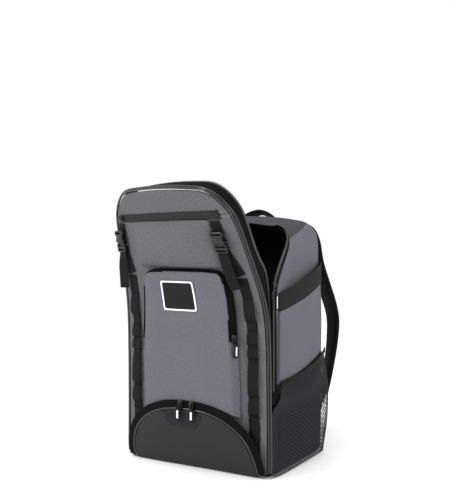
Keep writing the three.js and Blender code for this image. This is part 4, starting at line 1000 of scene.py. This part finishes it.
# How far along each loop its points lie, and how far they stand up there.
loop_shape = ((0, 0), (0.12, 0.35), (0.3, 0.7), (0.5, 0.9), (0.7, 1.0), (0.86, 0.95), (0.95, 0.45))
tacked_under = 0.0002
for word, side in (("right", 1), ("left", -1)):
    chain = frames_of(f"daisy_chain_{word}", (0, 0, 1), (0, -1, 0))
    thinnest = min(frame[4] for frame in chain)
    held = []
    for middle, across, outward, width, thickness in chain:
        inner = middle + outward * (webbing_thickness / 2 - thickness / 2)
        held.append((inner, across, outward, width, thickness - thinnest))
    held = finer(held, 2)
    tack_spots = [i for i, frame in enumerate(held) if frame[4] < tacked_under]
    loops = []
    for first, last in zip(tack_spots, tack_spots[1:]):
        bulge = random.uniform(0.0045, 0.0065) if last - first > 1 else 0.0
        sway = random.uniform(-0.0009, 0.0009)
        for share, lift in loop_shape:
            spot = first + share * (last - first)
            low = held[int(spot)]
            high = held[min(int(spot) + 1, last)]
            part = spot - int(spot)
            middle = low[0].lerp(high[0], part) + low[2] * bulge * lift + low[1] * sway * lift
            loops.append((middle, low[1].lerp(high[1], part).normalized(),
                          low[2].lerp(high[2], part).normalized(), low[3] * (1 + 0.03 * lift), 0.0))
    loops.append(held[tack_spots[-1]])
    finish_piece(f"daisy_chain_loops_{word}", strip(loops, thickness=webbing_thickness), [webbing_cloth],
                 [f"daisy_chain_{word}"])
    tacks = bmesh.new()
    for i, (middle, across, outward, width, thickness) in enumerate(chain[1:-1], 1):
        if thickness < thinnest + tacked_under:
            along = (chain[i + 1][0] - chain[i - 1][0]).normalized()
            add_tack(tacks, middle + outward * thickness / 2, across, along, outward, width * 0.9)
    finish_piece(f"daisy_chain_tacks_{word}", tacks, [black_thread], smooth=False)


# Buckle straps and side-release buckles
# A short strap holds each buckle's socket, the plug is threaded with the strap that ends in a free
# tail, and an anchor strap runs down to the bar-tacked webbing. The buckles are moulded nylon.
for word in ("right", "left"):
    for strap_name in ("upper_strap", "anchor_strap", "tail_strap"):
        frames = finer(frames_of(f"{strap_name}_{word}", (0, 0, 1), (0, -1, 0)), 5)
        finish_piece(f"{strap_name}_webbing_{word}", strip(frames), [webbing_cloth],
                     [f"{strap_name}_{word}"])
    for part in ("buckle_socket", "buckle_plug"):
        shell = round_edges(f"{part}_{word}", 0.0005)
        finish_piece(f"{part}_shell_{word}", shell, [black_moulded], [f"{part}_{word}"])


# Side sleeves with elastic mouths
# A wall of light cloth, with painted shade behind the net, stands off each side of the body. A wide elastic
# band slants up along its mouth towards the back.
elastic_band = webbing_finish("elastic_band", srgb(31, 31, 31), 0.8)
for word, side in (("right", 1), ("left", -1)):
    sleeve = rounded(merged_copy(f"side_sleeve_{word}"), 2)
    sleeve.normal_update()
    soften(sleeve, 0.0016, 0.07, 12.0 + side, Vector((side, 0, 0)))
    net_edge, net_up = net_plane(word)
    sew_groove(sleeve, net_edge, net_up, where=lambda vert, side=side: vert.normal.x * side > 0.5)
    # Below the net's bound edge the sleeve takes the dark lining: painted shade behind the net.
    paint(sleeve, lambda face: (face.calc_center_median() - net_edge).dot(net_up) < 0, inside)
    lay_weave(sleeve)
    finish_piece(f"side_sleeve_cloth_{word}", sleeve, [light_cloth, lining],
                 [f"side_sleeve_{word}"])
    band = strip(finer(frames_of(f"sleeve_band_{word}", (0, 1, 0), (side, 0, 0)), 4))
    finish_piece(f"sleeve_band_elastic_{word}", band, [elastic_band], [f"sleeve_band_{word}"])


# Net pockets at the foot of each side
# A knitted net is gathered over the sleeve's foot, with its top edge bound in tape. It stands out most
# at the back corner.
for word, side in (("right", 1), ("left", -1)):
    def faces_out(face):
        """Whether a face is on the net's outer side, and not its top or its front edge."""
        centre = face.calc_center_median()
        out = face.normal.x * centre.x + face.normal.y * centre.y
        return out > 0 and abs(face.normal.z) < 0.75 and face.normal.y > -0.9
    net = net_of(outer_skin(f"mesh_pocket_{word}", faces_out), 2, 0.0012)
    finish_piece(f"mesh_pocket_net_{word}", net, [net_yarn], [f"mesh_pocket_{word}"], smooth=False)
    binding = strip(finer(frames_of(f"mesh_binding_{word}", (0, 1, 0), (side, 0, 0)), 4))
    finish_piece(f"mesh_binding_tape_{word}", binding, [webbing_cloth], [f"mesh_binding_{word}"])


# Back pad
# A foam pad under air mesh, sewn to the back.
pad_mesh = weave_finish("pad_mesh", srgb(22, 22, 23), 0.0030, 0.85, speckle=0.4, depth=0.0008)
pad = rounded(merged_copy("back_pad"), 3, crease_over=80)
lay_weave(pad)
back_pad = finish_piece("back_pad_foam", pad, [pad_mesh], ["back_pad"])


# Shoulder straps with their ladder locks, lower straps and the carrying loop
# Curved foam straps under air mesh, held at the top of the back. A ladder lock at each lower end takes
# a strap that is sewn in at the foot.
for word, side in (("right", 1), ("left", -1)):
    shoulder = rounded(merged_copy(f"shoulder_strap_{word}"), 2, crease_over=80)
    lay_weave(shoulder)
    strap = finish_piece(f"shoulder_strap_foam_{word}", shoulder, [pad_mesh],
                         [f"shoulder_strap_{word}"])
    lock = round_edges(f"ladder_lock_{word}", 0.0005)
    finish_piece(f"ladder_lock_shell_{word}", lock, [black_moulded], [f"ladder_lock_{word}"])
    lower = strip(finer(frames_of(f"lower_strap_{word}", (0, 0, 1), (0, 1, 0)), 4))
    finish_piece(f"lower_strap_webbing_{word}", lower, [webbing_cloth], [f"lower_strap_{word}"])
haul = strip(finer(frames_of("haul_loop", (-1, 0, -0.9), (0, 1, 0)), 4))
finish_piece("haul_loop_webbing", haul, [webbing_cloth], ["haul_loop"])
